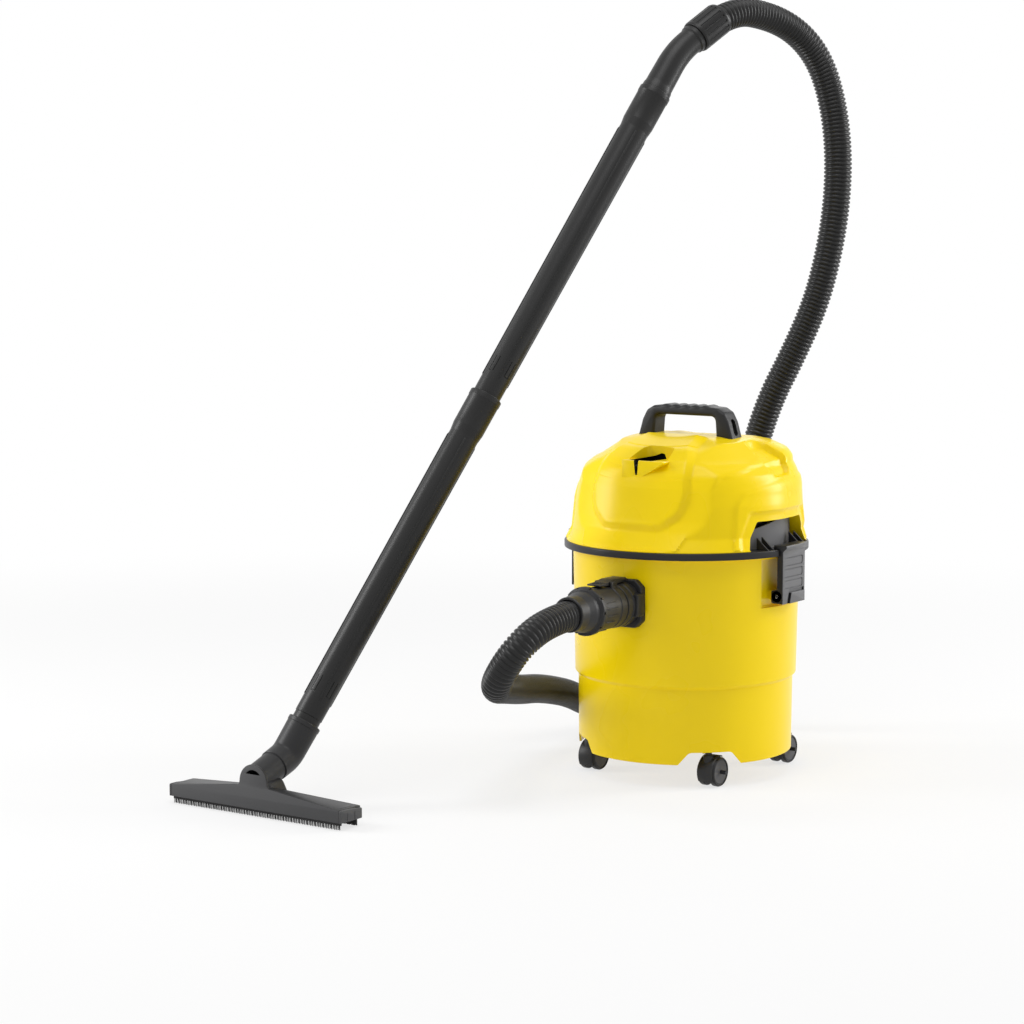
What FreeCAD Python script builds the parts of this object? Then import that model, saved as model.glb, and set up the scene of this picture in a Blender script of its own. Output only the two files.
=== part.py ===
import FreeCAD, Part

import math
import os

# Compact wet-and-dry drum vacuum cleaner with hose, bend, two tubes and floor nozzle.
# Millimetres. The tub axis is Z, the inlet faces -Y, the latches are at -X and +X, the floor is z = 0.

# Tub
TUB_TOP_Z = 292.5
TUB_TOP_R = 144.0
TUB_STEP_Z = 124.0
TUB_STEP_R = TUB_TOP_R - 3.0
TUB_STEP_DEPTH = 4.2
TUB_BOTTOM_R = TUB_TOP_R - 8.0
TUB_WALL = 2.6
SKIRT_Z = 29.5
FLOOR_Z = 46.0
RIM_R = TUB_TOP_R + 6.5
RIM_HEIGHT = 5.5
ARCH_TOP_Z = FLOOR_Z - 0.6
ARCH_TOP_HALF = 25.0
ARCH_FOOT_HALF = 41.0

# Recess and bracket for each side latch
RECESS_FACE_X = TUB_TOP_R - 10.2
RECESS_HALF = 37.0
RECESS_FLARE = 3.1
RECESS_LOW_Z = 218.0
RECESS_TOP_Z = 283.5
PIVOT_X = TUB_TOP_R + 4.3
PIVOT_Z = 236.5
BRACKET_HALF = 18.0
BRACKET_R = 5.6
PIN_R = 2.2

# Latch
LATCH_HALF = 28.0
LATCH_FACE_X = TUB_TOP_R + 13.0
LATCH_PLATE = 2.6
LATCH_LOW_Z = 227.0
LATCH_TOP_Z = 300.5
LATCH_ARM_X = LATCH_FACE_X - 13.4
LATCH_ARM_GAP = 0.3
LATCH_FLANGE_X = LATCH_FACE_X - 7.8
LATCH_FLANGE = 2.6
LATCH_LIP = 5.0
LATCH_LIP_HEIGHT = 8.0
LUG_R = 8.0
LUG_GAP = 0.4
GROOVE_DEPTH = 0.9
GROOVE_WIDTH = 1.6
GROOVE_PITCH = 14.5
GROOVE_COUNT = 3

# Head base: the black ring, its web and the wall behind the latch windows
RING_R = RIM_R + 4.9
RING_LOW_Z = TUB_TOP_Z - 5.5
WEB_LOW_Z = TUB_TOP_Z + 0.2
WEB_TOP_Z = WEB_LOW_Z + 3.0
RING_WALL = 2.3
BASE_WALL_R = TUB_TOP_R - 13.0
BASE_WALL_TOP_Z = 352.0
BASE_WALL = 2.4
NOTCH_HALF = 30.5
NOTCH_X = LATCH_ARM_X - 1.2
SEAL_R = TUB_TOP_R - TUB_WALL - 0.4
SEAL_WIDTH = 3.6
SEAL_HEIGHT = 4.0

# Head cover
COVER_FOOT_R = RING_R - 2.2
COVER_FLARE_Z = 312.0
COVER_FLARE_R = TUB_TOP_R + 0.4
COVER_WALL_R = TUB_TOP_R - 4.5
SHOULDER_Z = 362.0
SHOULDER_ARC = 56.0
SHOULDER_TURN = 50.0
SHOULDER_BANDS = 4
CROWN_EDGE_R = COVER_WALL_R - 55.5
CROWN_EDGE_Z = 427.5
CROWN_MID_SHARE = 0.62
CROWN_MID_Z = 431.5
CROWN_TOP_Z = 433.0
COVER_WALL = 2.5
BIB_CURVE_R = 200.0
CURVE_LOW_Z = 280.0
BIB_FRONT_Y = -COVER_WALL_R - 2.0
BIB_LOW_Z = 333.0
BIB_FOOT_HALF = 44.0
BIB_LOW_HALF = 59.0
BIB_HALF = 68.0
BIB_TOP_HALF = 60.0
BIB_STEP = 3.2
BIB_BEVEL = 10.0
BIB_TOP_RISE = 2.0
POCKET_HALF = 27.0
POCKET_FRONT_Y = BIB_FRONT_Y + 20.5
POCKET_BACK_Y = POCKET_FRONT_Y + 24.0
POCKET_LOW_Z = 383.0
POCKET_LEDGE_Z = 405.0
SLOT_WIDTH = 6.0
SLOT_LOW_Z = 387.0
SLOT_HALF = 17.0
WINDOW_LOW_HALF = 66.0
WINDOW_TOP_HALF = 45.0
WINDOW_TOP_Z = 331.0
WINDOW_FRAME = 10.0
WINDOW_FRAME_DEPTH = 1.0
SCOOP_TOP_HALF = 27.0
SCOOP_LOW_HALF = 14.0
SCOOP_TOP_Z = 423.0
SCOOP_LOW_Z = 381.0
SCOOP_DEPTH = 3.0
VENT_COUNT = 5
VENT_WIDTH = 3.2
VENT_LENGTH = 34.0
VENT_PITCH = 8.0
VENT_X = -12.0
VENT_Z = 340.0

# Carry handle
HANDLE_HALF_FOOT = 72.0
HANDLE_HALF_TOP = 62.0
HANDLE_TOP_Z = 468.0
HANDLE_GRIP = 13.0
HANDLE_LEG = 20.0
HANDLE_HALF_DEPTH = 14.0
HANDLE_Y = 8.0
HANDLE_CORNER = 20.0
HANDLE_BUMPS = 5
HANDLE_BUMP_SAG = 1.4
HANDLE_SCOOP_DEPTH = 4.0

# Motor, fan, filter and float
MOTOR_R = 46.0
MOTOR_LOW_Z = 334.0
MOTOR_TOP_Z = 398.0
MOTOR_CAP_R = 30.0
MOTOR_CAP_TOP_Z = 412.0
SHAFT_R = 4.0
SHAFT_LOW_Z = 305.0
HOUSING_R = 64.0
HOUSING_WALL = 2.4
HOUSING_EYE_R = 24.0
FAN_R = 56.0
FAN_LOW_Z = 306.5
FAN_TOP_Z = 322.0
FAN_DISC = 1.6
FAN_HUB_R = 9.0
FAN_BLADES = 7
SHAFT_CLEARANCE = 0.05
CAGE_R = 52.0
CAGE_WALL = 2.2
CAGE_TOP_Z = WEB_LOW_Z
CAGE_LOW_Z = 176.0
CAGE_FLANGE_R = 66.0
CAGE_WINDOWS = 6
CAGE_BAR = 10.0
FOAM_R = 66.0
FOAM_LOW_Z = 178.5
FOAM_TOP_Z = 286.0
FOAM_GAP = 0.4
FLOAT_R = 19.0
FLOAT_HEIGHT = 30.0
FLOAT_TOP_R = 9.0
FLOAT_GAP = 0.1
FLOAT_TRAVEL = 60.0

# Switch, blower port and cord gland at the back of the head
SWITCH_X = 62.0
SWITCH_Z = 385.0
SWITCH_WIDTH = 20.0
SWITCH_HEIGHT = 26.0
SWITCH_DEPTH = 12.0
SWITCH_GAP = 0.5
SWITCH_TILT = 7.0
SWITCH_LEAN = 24.0
PORT_X = 48.0
PORT_Z = 336.0
PORT_R = 22.5
PORT_BORE_R = 17.7
PORT_BACK_Y = TUB_TOP_R + 5.0
PORT_DEPTH = 42.0
GLAND_X = -62.0
GLAND_Z = 326.0
GLAND_R = 7.0
GLAND_BORE_R = 3.6
GLAND_OUT = 20.0

# Inlet on the tub and the hose connector in front of it
INLET_Z = 231.0
INLET_BORE_R = 18.6
PLATE_HALF_X = 27.0
PLATE_HALF_Z = 30.0
PLATE_OUT = 8.0
PLATE_CORNER = 9.0
NUT_WIDTH = 9.5
SOCKET_R = 27.8
SOCKET_Y = -TUB_TOP_R - 34.0
SLEEVE_R = 27.2
SLEEVE_Y = SOCKET_Y - 1.0
SLEEVE_END_Y = SLEEVE_Y - 50.0
COLLAR_R = 30.0
COLLAR_WIDTH = 8.0
NECK_BASE_R = 25.5
NECK_R = 21.6
NECK_END_Y = SLEEVE_END_Y - 42.0
SPIGOT_R = 20.6
SLEEVE_RIBS = 10
LEVER_WIDTH = 18.0
LEVER_BACK_Y = SOCKET_Y + 26.0
LEVER_FRONT_Y = SOCKET_Y - 38.0
LEVER_THICK = 4.0
LEVER_RISE = 5.0
LEVER_PIN_Y = SOCKET_Y - 10.0
LEVER_PIN_R = 1.8
LEVER_EAR = 3.0

# Hose
HOSE_R = 18.5
HOSE_ROOT_R = 16.7
HOSE_BORE_R = 15.3
HOSE_RIBS = 62
HOSE_CREST_SHARE = 0.42
HOSE_FLANK_SHARE = 0.12
HOSE_IN_NECK = 39.0
HOSE_IN_CUFF = 35.0
HOSE_FIT = 0.3

# Wand: where the lower tube leaves the nozzle sleeve, its lean and its plan direction
WAND_START_X = -256.9
WAND_START_Y = -454.4
WAND_START_Z = 101.6
WAND_START = FreeCAD.Vector(WAND_START_X, WAND_START_Y, WAND_START_Z)
WAND_PLAN = 66.8
WAND_RISE = 56.3
TUBE_LENGTH = 494.0
TUBE_PLUG_R = 16.9
TUBE_PLUG = 42.0
TUBE_R = 18.3
TUBE_SOCKET_R = 20.9
TUBE_SOCKET = 48.0
TUBE_BORE_R = 14.8
TUBE_FIT = 0.15
TUBE_RIB = 2.0
TUBE_RIB_OUT = 1.0
TUBE_RIBS = 4
SLEEVE_INSERT = 34.0
BEND_TURN = 22.0
BEND_ARC = 118.0
BEND_R = 17.2
BEND_BORE_R = 14.2
BEND_SEGMENTS = 3
BEND_STRAIGHT = 40.0
BEND_TAIL = 10.0
BEND_IN_CUFF = 11.0
CUFF_LENGTH = 46.0
CUFF_R = 21.3
CUFF_FLUTES = 12
CUFF_FLUTE_R = 1.6
CUFF_RUN_FIT = 0.08

# Floor nozzle
NOZZLE_X = WAND_START_X - 10.1
NOZZLE_FRONT_Y = WAND_START_Y - 85.6
NOZZLE_LENGTH = 265.0
NOZZLE_DEPTH = 40.0
NOZZLE_LOW_Z = 9.0
NOZZLE_END_Z = 24.0
NOZZLE_MID_Z = 37.0
NOZZLE_REAR_DROP = 7.0
NOZZLE_WALL = 2.5
HUMP_R = 21.0
HUMP_Z = 42.0
HUMP_PLATE = 3.0
NECK_PIPE_R = 18.0
NECK_PIPE_BORE_R = 14.5
NECK_PIPE_LENGTH = 52.0
ELBOW_POINT_BACK = 45.8
ELBOW_START = 40.0
ELBOW_ARC = 24.0
ELBOW_SEGMENTS = 3
ELBOW_R = 19.6
ELBOW_FIT = 0.08
BRISTLE_HALF = 129.0
BRISTLE_THICK = 4.0
BRISTLE_ROOT = 5.0
LIP_THICK = 2.4
LIP_HALF = 127.0
END_CAP = 3.0

# Castors
CASTOR_CIRCLE_R = TUB_BOTTOM_R - 11.0
CASTOR_TRAIL = 10.0
WHEEL_R = 18.5
WHEEL_WIDTH = 8.5
WHEEL_RIM = 2.2
WHEEL_DISH = 1.0
AXLE_R = 2.5
AXLE_FIT = 0.06
HOOD_R = 19.6
HOOD_WEB = 7.0
HOOD_GAP = 0.5
HOOD_SHELL = 1.2
STEM_R = 4.0
STEM_BOSS_R = 6.5
STEM_TOP_Z = 60.0
STEM_FIT = 0.1
SOCKET_BOSS_R = 8.6
SOCKET_BOSS_LOW_Z = 41.0
SOCKET_BOSS_TOP_Z = 64.0

PARTS = {}


def vec(x, y, z):
    return FreeCAD.Vector(x, y, z)


def unit(v):
    return v * (1.0 / v.Length)


def turned(points):
    """A solid of revolution about Z from (radius, height) points."""
    wire = Part.makePolygon([vec(r, 0, z) for r, z in points + points[:1]])
    return Part.Face(wire).revolve(vec(0, 0, 0), vec(0, 0, 1), 360)


def prism_y(points, y0, y1):
    """An outline of (x, z) points, drawn out along Y."""
    wire = Part.makePolygon([vec(x, y0, z) for x, z in points + points[:1]])
    return Part.Face(wire).extrude(vec(0, y1 - y0, 0))


def prism_x(points, x0, x1):
    """An outline of (y, z) points, drawn out along X."""
    wire = Part.makePolygon([vec(x0, y, z) for y, z in points + points[:1]])
    return Part.Face(wire).extrude(vec(x1 - x0, 0, 0))


def prism_z(points, z0, z1):
    """An outline of (x, y) points, drawn out along Z."""
    wire = Part.makePolygon([vec(x, y, z0) for x, y in points + points[:1]])
    return Part.Face(wire).extrude(vec(0, 0, z1 - z0))


def block(x0, x1, y0, y1, z0, z1):
    return Part.makeBox(x1 - x0, y1 - y0, z1 - z0, vec(x0, y0, z0))


def rod(start, direction, radius, length):
    return Part.makeCylinder(radius, length, start, direction)


def taper(start, direction, r0, r1, length):
    return Part.makeCone(r0, r1, length, start, direction)


def ring_rod(start, direction, r_out, r_in, length):
    return rod(start, direction, r_out, length).cut(rod(start, direction, r_in, length))


def seated(shape, start, direction):
    """A shape drawn along Z, moved so that its Z axis starts at start and points along direction."""
    moved = shape.copy()
    turn = FreeCAD.Rotation(vec(0, 0, 1), direction)
    moved.Placement = FreeCAD.Placement(start, turn).multiply(moved.Placement)
    return moved


def mirrored_x(shape):
    return shape.mirror(vec(0, 0, 0), vec(1, 0, 0))


def spun(shape, degrees):
    moved = shape.copy()
    moved.rotate(vec(0, 0, 0), vec(0, 0, 1), degrees)
    return moved


def joined(shapes):
    return shapes[0].multiFuse(shapes[1:]).removeSplitter()


def keep(name, shape):
    PARTS[name] = shape


# Places worked out from the sizes

WAND_DIR = vec(
    math.cos(math.radians(WAND_PLAN)) * math.cos(math.radians(WAND_RISE)),
    math.sin(math.radians(WAND_PLAN)) * math.cos(math.radians(WAND_RISE)),
    math.sin(math.radians(WAND_RISE)),
)
CUFF_DIR = vec(
    math.cos(math.radians(WAND_PLAN)) * math.cos(math.radians(WAND_RISE - BEND_TURN)),
    math.sin(math.radians(WAND_PLAN)) * math.cos(math.radians(WAND_RISE - BEND_TURN)),
    math.sin(math.radians(WAND_RISE - BEND_TURN)),
)
LOWER_TUBE_START = WAND_START - WAND_DIR * SLEEVE_INSERT
UPPER_TUBE_START = LOWER_TUBE_START + WAND_DIR * (TUBE_LENGTH - TUBE_PLUG)
WAND_TOP = UPPER_TUBE_START + WAND_DIR * TUBE_LENGTH
BEND_LEG = BEND_ARC * math.tan(math.radians(BEND_TURN / 2))
BEND_CORNER = WAND_TOP + WAND_DIR * (BEND_STRAIGHT + BEND_LEG)
CUFF_START = BEND_CORNER + CUFF_DIR * (BEND_LEG + BEND_TAIL)
CUFF_END = CUFF_START + CUFF_DIR * CUFF_LENGTH
ELBOW_POINT = WAND_START - WAND_DIR * ELBOW_POINT_BACK
NECK_PIPE_START = vec(ELBOW_POINT.x, NOZZLE_FRONT_Y, HUMP_Z)
NECK_PIPE_DIR = unit(ELBOW_POINT - NECK_PIPE_START)
HOSE_INLET_END = vec(0, NECK_END_Y + HOSE_IN_NECK, INLET_Z)
HOSE_CUFF_END = CUFF_END - CUFF_DIR * HOSE_IN_CUFF

# The hose route, from the cuff over the arch, down behind the tub and round to the inlet
HOSE_ROUTE = [
    HOSE_CUFF_END,
    CUFF_END + CUFF_DIR * 21.0,
    vec(7, 192, 963),
    vec(28, 232, 942),
    vec(44, 260, 906),
    vec(55, 275, 853),
    vec(62, 279, 791),
    vec(63, 275, 725),
    vec(57, 267, 659),
    vec(42, 259, 589),
    vec(18, 242, 521),
    vec(-10, 226, 456),
    vec(-34, 218, 370),
    vec(-40, 215, 285),
    vec(-46, 226, 200),
    vec(-50, 232, 122),
    vec(-72, 240, 60),
    vec(-128, 242, 19.5),
    vec(-188, 212, 19.5),
    vec(-215, 148, 26),
    vec(-206, 76, 52),
    vec(-183, 4, 76),
    vec(-161, -70, 94),
    vec(-136, -142, 109),
    vec(-109, -216, 121),
    vec(-79, -287, 136),
    vec(-53, -354, 149),
    vec(-11, -358, 206),
    vec(0, -301, 231),
    HOSE_INLET_END,
]
HOSE_ARC_SHARE = 0.45


# Tub


def tub_outline(inset):
    """Radius and height points of the tub wall, drawn in by inset."""
    return [
        (TUB_BOTTOM_R - inset, SKIRT_Z),
        (TUB_STEP_R - TUB_STEP_DEPTH - inset, TUB_STEP_Z),
        (TUB_STEP_R - inset, TUB_STEP_Z + TUB_STEP_DEPTH),
        (TUB_TOP_R - inset, TUB_TOP_Z - RIM_HEIGHT),
    ]


def latch_recess(inset):
    """The hollow in the tub's right side that the latch closes into."""
    face = RECESS_FACE_X - inset
    half = RECESS_HALF + inset
    far = RIM_R + 10
    wide = half + RECESS_FLARE * (far - face)
    outline = [(face, -half), (far, -wide), (far, wide), (face, half)]
    return prism_z(outline, RECESS_LOW_Z - inset, RECESS_TOP_Z + inset)


def castor_arch():
    outline = [
        (-ARCH_FOOT_HALF, SKIRT_Z - 1),
        (-ARCH_TOP_HALF, ARCH_TOP_Z),
        (ARCH_TOP_HALF, ARCH_TOP_Z),
        (ARCH_FOOT_HALF, SKIRT_Z - 1),
    ]
    return prism_y(outline, -TUB_TOP_R - 5, -CASTOR_CIRCLE_R + 5)


def castor_angles():
    return {"front_right": 45, "rear_right": 135, "rear_left": 225, "front_left": 315}


def castor_place(name):
    turn = math.radians(castor_angles()[name] - 90)
    return vec(CASTOR_CIRCLE_R * math.cos(turn), CASTOR_CIRCLE_R * math.sin(turn), 0)


def make_tub():
    outer = turned([(0, SKIRT_Z)] + tub_outline(0) + [(TUB_TOP_R, TUB_TOP_Z), (0, TUB_TOP_Z)])
    inner = turned([(0, FLOOR_Z + TUB_WALL)] + tub_inner_points() + [(0, TUB_TOP_Z)])
    skirt_r = TUB_BOTTOM_R - TUB_WALL
    under = turned([(0, SKIRT_Z), (skirt_r, SKIRT_Z), (skirt_r, FLOOR_Z), (0, FLOOR_Z)])
    recess = latch_recess(0)
    room = latch_recess(TUB_WALL)
    outer = outer.cut(recess).cut(mirrored_x(recess))
    inner = inner.cut(room).cut(mirrored_x(room))
    rim = turned(
        [
            (TUB_TOP_R - TUB_WALL, TUB_TOP_Z - RIM_HEIGHT),
            (RIM_R, TUB_TOP_Z - RIM_HEIGHT),
            (RIM_R, TUB_TOP_Z),
            (TUB_TOP_R - TUB_WALL, TUB_TOP_Z),
        ]
    )
    tub = outer.cut(inner).cut(under).fuse(rim)
    bosses = []
    for name in castor_angles():
        foot = castor_place(name) + vec(0, 0, SOCKET_BOSS_LOW_Z)
        bosses.append(rod(foot, vec(0, 0, 1), SOCKET_BOSS_R, SOCKET_BOSS_TOP_Z - SOCKET_BOSS_LOW_Z))
    bracket = latch_bracket()
    tub = joined([tub] + bosses + [bracket, mirrored_x(bracket)])
    for name in castor_angles():
        foot = castor_place(name) + vec(0, 0, SOCKET_BOSS_LOW_Z)
        tub = tub.cut(rod(foot, vec(0, 0, 1), STEM_R + STEM_FIT, STEM_TOP_Z + 1 - SOCKET_BOSS_LOW_Z))
        tub = tub.cut(spun(castor_arch(), castor_angles()[name]))
    hole = rod(vec(0, -TUB_TOP_R - 10, INLET_Z), vec(0, 1, 0), SPIGOT_R, 40)
    pin = rod(vec(PIVOT_X, -LATCH_HALF, PIVOT_Z), vec(0, 1, 0), PIN_R, 2 * LATCH_HALF)
    keep("tub", tub.cut(hole).cut(pin).cut(mirrored_x(pin)))


def tub_inner_points():
    points = tub_outline(TUB_WALL)
    return [(points[0][0], FLOOR_Z + TUB_WALL)] + points[1:] + [(TUB_TOP_R - TUB_WALL, TUB_TOP_Z)]


def latch_bracket():
    """The lug on the tub that the latch turns on."""
    back = RECESS_FACE_X - 1.0
    arm = block(back, PIVOT_X, -BRACKET_HALF, BRACKET_HALF, PIVOT_Z - BRACKET_R, PIVOT_Z + BRACKET_R)
    nose = rod(vec(PIVOT_X, -BRACKET_HALF, PIVOT_Z), vec(0, 1, 0), BRACKET_R, 2 * BRACKET_HALF)
    return arm.fuse(nose)


# Latches


def latch_body():
    """The right-hand latch: plate, top arm, side flanges and pivot lugs."""
    arm_low = TUB_TOP_Z + LATCH_ARM_GAP
    plate = block(
        LATCH_FACE_X - LATCH_PLATE, LATCH_FACE_X, -LATCH_HALF, LATCH_HALF, LATCH_LOW_Z, LATCH_TOP_Z
    )
    arm = block(LATCH_ARM_X, LATCH_FACE_X, -LATCH_HALF, LATCH_HALF, arm_low, LATCH_TOP_Z)
    lip_outline = [
        (LATCH_FACE_X - 1, LATCH_TOP_Z - LATCH_LIP_HEIGHT),
        (LATCH_FACE_X, LATCH_TOP_Z - LATCH_LIP_HEIGHT),
        (LATCH_FACE_X + LATCH_LIP, LATCH_TOP_Z - 0.4 * LATCH_LIP_HEIGHT),
        (LATCH_FACE_X + LATCH_LIP, LATCH_TOP_Z),
        (LATCH_FACE_X - 1, LATCH_TOP_Z),
    ]
    lip = prism_y(lip_outline, -LATCH_HALF, LATCH_HALF)
    body = joined([plate, arm, lip])
    for side in (-1, 1):
        y0 = side * LATCH_HALF
        y1 = side * (LATCH_HALF - LATCH_FLANGE)
        low, high = min(y0, y1), max(y0, y1)
        body = body.fuse(block(LATCH_FLANGE_X, LATCH_FACE_X - 1, low, high, PIVOT_Z, arm_low))
        y2 = side * (BRACKET_HALF + LUG_GAP)
        low, high = min(y0, y2), max(y0, y2)
        lug = rod(vec(PIVOT_X, low, PIVOT_Z), vec(0, 1, 0), LUG_R, high - low)
        foot = block(PIVOT_X, LATCH_FACE_X - 1, low, high, PIVOT_Z - LUG_R, PIVOT_Z + LUG_R)
        body = body.fuse(lug).fuse(foot)
    start = vec(PIVOT_X, -LATCH_HALF - 1, PIVOT_Z)
    hole = rod(start, vec(0, 1, 0), PIN_R + SHAFT_CLEARANCE, 2 * LATCH_HALF + 2)
    return body.cut(hole)


def latch_grooves():
    """Three sideways U-shaped finger grooves and the recess round the bottom tab."""
    x0 = LATCH_FACE_X - GROOVE_DEPTH
    x1 = LATCH_FACE_X + 1
    cuts = []
    top = LATCH_TOP_Z - LATCH_LIP_HEIGHT - 7.0
    reach = LATCH_HALF - 6.0
    for i in range(GROOVE_COUNT):
        z = top - i * GROOVE_PITCH
        half = 0.28 * GROOVE_PITCH
        cuts.append(block(x0, x1, -reach, reach, z + half, z + half + GROOVE_WIDTH))
        cuts.append(block(x0, x1, -reach, reach, z - half - GROOVE_WIDTH, z - half))
        cuts.append(block(x0, x1, reach - GROOVE_WIDTH, reach, z - half, z + half))
    tab_top = LATCH_LOW_Z + 11.0
    outer = [(-17.0, LATCH_LOW_Z - 1), (-12.0, tab_top + 3), (22.0, tab_top + 3)]
    inner = [(22.0, tab_top), (-9.0, tab_top), (-13.0, LATCH_LOW_Z - 1)]
    cuts.append(prism_x(outer + inner, LATCH_FACE_X - 1.6, x1))
    return cuts


def make_latches():
    latch = latch_body()
    for cut in latch_grooves():
        latch = latch.cut(cut)
    latch = latch.removeSplitter()
    pin = rod(vec(PIVOT_X, -LATCH_HALF, PIVOT_Z), vec(0, 1, 0), PIN_R, 2 * LATCH_HALF)
    keep("latch_right", latch)
    keep("latch_pin_right", pin)
    keep("latch_left", spun(latch, 180))
    keep("latch_pin_left", spun(pin, 180))


# Head


def make_head_base():
    """The black ring that caps the rim, its web and the wall seen through the latch windows."""
    profile = [
        (RING_R, RING_LOW_Z),
        (RING_R, WEB_TOP_Z),
        (BASE_WALL_R, WEB_TOP_Z),
        (BASE_WALL_R, BASE_WALL_TOP_Z),
        (BASE_WALL_R - BASE_WALL, BASE_WALL_TOP_Z),
        (BASE_WALL_R - BASE_WALL, WEB_TOP_Z),
        (HOUSING_EYE_R, WEB_TOP_Z),
        (HOUSING_EYE_R, WEB_LOW_Z),
        (RING_R - RING_WALL, WEB_LOW_Z),
        (RING_R - RING_WALL, RING_LOW_Z),
    ]
    base = turned(profile)
    notch = block(NOTCH_X, RING_R + 5, -NOTCH_HALF, NOTCH_HALF, RING_LOW_Z - 1, WEB_TOP_Z + 1)
    base = base.cut(notch).cut(mirrored_x(notch))
    port = rod(vec(PORT_X, 0, PORT_Z), vec(0, 1, 0), PORT_R, RING_R)
    gland = rod(vec(GLAND_X, 0, GLAND_Z), vec(0, 1, 0), GLAND_R, RING_R)
    keep("head_base", base.cut(port).cut(gland))
    seal = turned(
        [
            (SEAL_R, WEB_LOW_Z - SEAL_HEIGHT),
            (SEAL_R, WEB_LOW_Z),
            (SEAL_R - SEAL_WIDTH, WEB_LOW_Z),
            (SEAL_R - SEAL_WIDTH, WEB_LOW_Z - SEAL_HEIGHT),
        ]
    )
    keep("head_seal", seal)


def cover_form(inset):
    """The head's outer form without its panels, drawn in by inset."""
    arc_r = SHOULDER_ARC - inset
    centre_r = COVER_WALL_R - SHOULDER_ARC
    points = [(0, WEB_TOP_Z), (COVER_FOOT_R - inset, WEB_TOP_Z), (COVER_FLARE_R - inset, COVER_FLARE_Z)]
    for i in range(SHOULDER_BANDS + 1):
        turn = math.radians(SHOULDER_TURN * i / SHOULDER_BANDS)
        points.append((centre_r + arc_r * math.cos(turn), SHOULDER_Z + arc_r * math.sin(turn)))
    edge_r = CROWN_EDGE_R - 0.4 * inset
    points.append((edge_r, CROWN_EDGE_Z - inset))
    points.append((CROWN_MID_SHARE * edge_r, CROWN_MID_Z - inset))
    points.append((0, CROWN_TOP_Z - inset))
    return turned(points)


def bib_outline(grow):
    """Half-octagon outline of the raised front panel, grown by grow."""
    right = [
        (BIB_FOOT_HALF + 0.6 * grow, BIB_LOW_Z - grow),
        (BIB_LOW_HALF + grow, BIB_LOW_Z + 10 - 0.6 * grow),
        (BIB_HALF - 2 + grow, BIB_LOW_Z + 39),
        (BIB_HALF + grow, BIB_LOW_Z + 65),
        (BIB_TOP_HALF + grow, BIB_LOW_Z + 107),
    ]
    return right + [(-x, z) for x, z in reversed(right)]


def bib_loop(grow, y):
    corners = [vec(x, y, z) for x, z in bib_outline(grow)]
    return Part.makePolygon(corners + corners[:1])


def bib_panel(grow, stand):
    """A bevelled panel whose front follows a shallow upright cylinder and whose top follows the crown."""
    front = bib_loop(grow, BIB_FRONT_Y - 12)
    back = bib_loop(grow + 2.2 * BIB_BEVEL, BIB_FRONT_Y + 42)
    body = Part.makeLoft([front, back], True, True)
    curve = rod(vec(0, BIB_FRONT_Y - stand + BIB_CURVE_R, CURVE_LOW_Z), vec(0, 0, 1), BIB_CURVE_R, 200)
    return body.common(curve.common(bib_top(stand)))


def bib_top(stand):
    """A cone that lies just above the shoulder and ends the panels at the crown."""
    turn = math.radians(SHOULDER_TURN)
    edge_r = COVER_WALL_R - SHOULDER_ARC + SHOULDER_ARC * math.cos(turn)
    edge_z = SHOULDER_Z + SHOULDER_ARC * math.sin(turn)
    slope = (CROWN_EDGE_Z - edge_z) / (edge_r - CROWN_EDGE_R)
    rise = BIB_TOP_RISE + stand
    low_r = 200.0
    low_z = edge_z + rise - slope * (low_r - edge_r)
    top_z = edge_z + rise + slope * (edge_r - CROWN_EDGE_R) + 0.4
    top_r = edge_r - (top_z - rise - edge_z) / slope
    return turned([(0, WEB_TOP_Z), (low_r, WEB_TOP_Z), (low_r, low_z), (top_r, top_z), (0, top_z)])


def parking_pocket(inset):
    """The stepped recess in the top of the bib, with its ledge."""
    half = POCKET_HALF + inset
    front, top = BIB_FRONT_Y - 30, CROWN_TOP_Z + 20
    step = block(-half, half, front, POCKET_FRONT_Y + inset, POCKET_LOW_Z - inset, top)
    bed = block(-half, half, front, POCKET_BACK_Y + inset, POCKET_LEDGE_Z - inset, top)
    return step.fuse(bed)


def parking_slot():
    front, top = POCKET_FRONT_Y, POCKET_LEDGE_Z + 1
    half = SLOT_WIDTH / 2
    ledge = block(-SLOT_HALF, SLOT_HALF, front + 5, POCKET_BACK_Y - 5, POCKET_LEDGE_Z - 20, top)
    stem = block(-half, half, front - 6, front + 6, SLOT_LOW_Z, top)
    return ledge.fuse(stem)


def window_outline(grow):
    return [
        (-WINDOW_LOW_HALF - grow, WEB_TOP_Z - 5),
        (-WINDOW_TOP_HALF - grow, WINDOW_TOP_Z + grow),
        (WINDOW_TOP_HALF + grow, WINDOW_TOP_Z + grow),
        (WINDOW_LOW_HALF + grow, WEB_TOP_Z - 5),
    ]


def scoop_outline(grow):
    return [
        (-SCOOP_LOW_HALF - grow, SCOOP_LOW_Z - grow),
        (-SCOOP_TOP_HALF - grow, SCOOP_TOP_Z),
        (SCOOP_TOP_HALF + grow, SCOOP_TOP_Z),
        (SCOOP_LOW_HALF + grow, SCOOP_LOW_Z - grow),
    ]


def both_sides(cutter):
    return [cutter, mirrored_x(cutter)]


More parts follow.
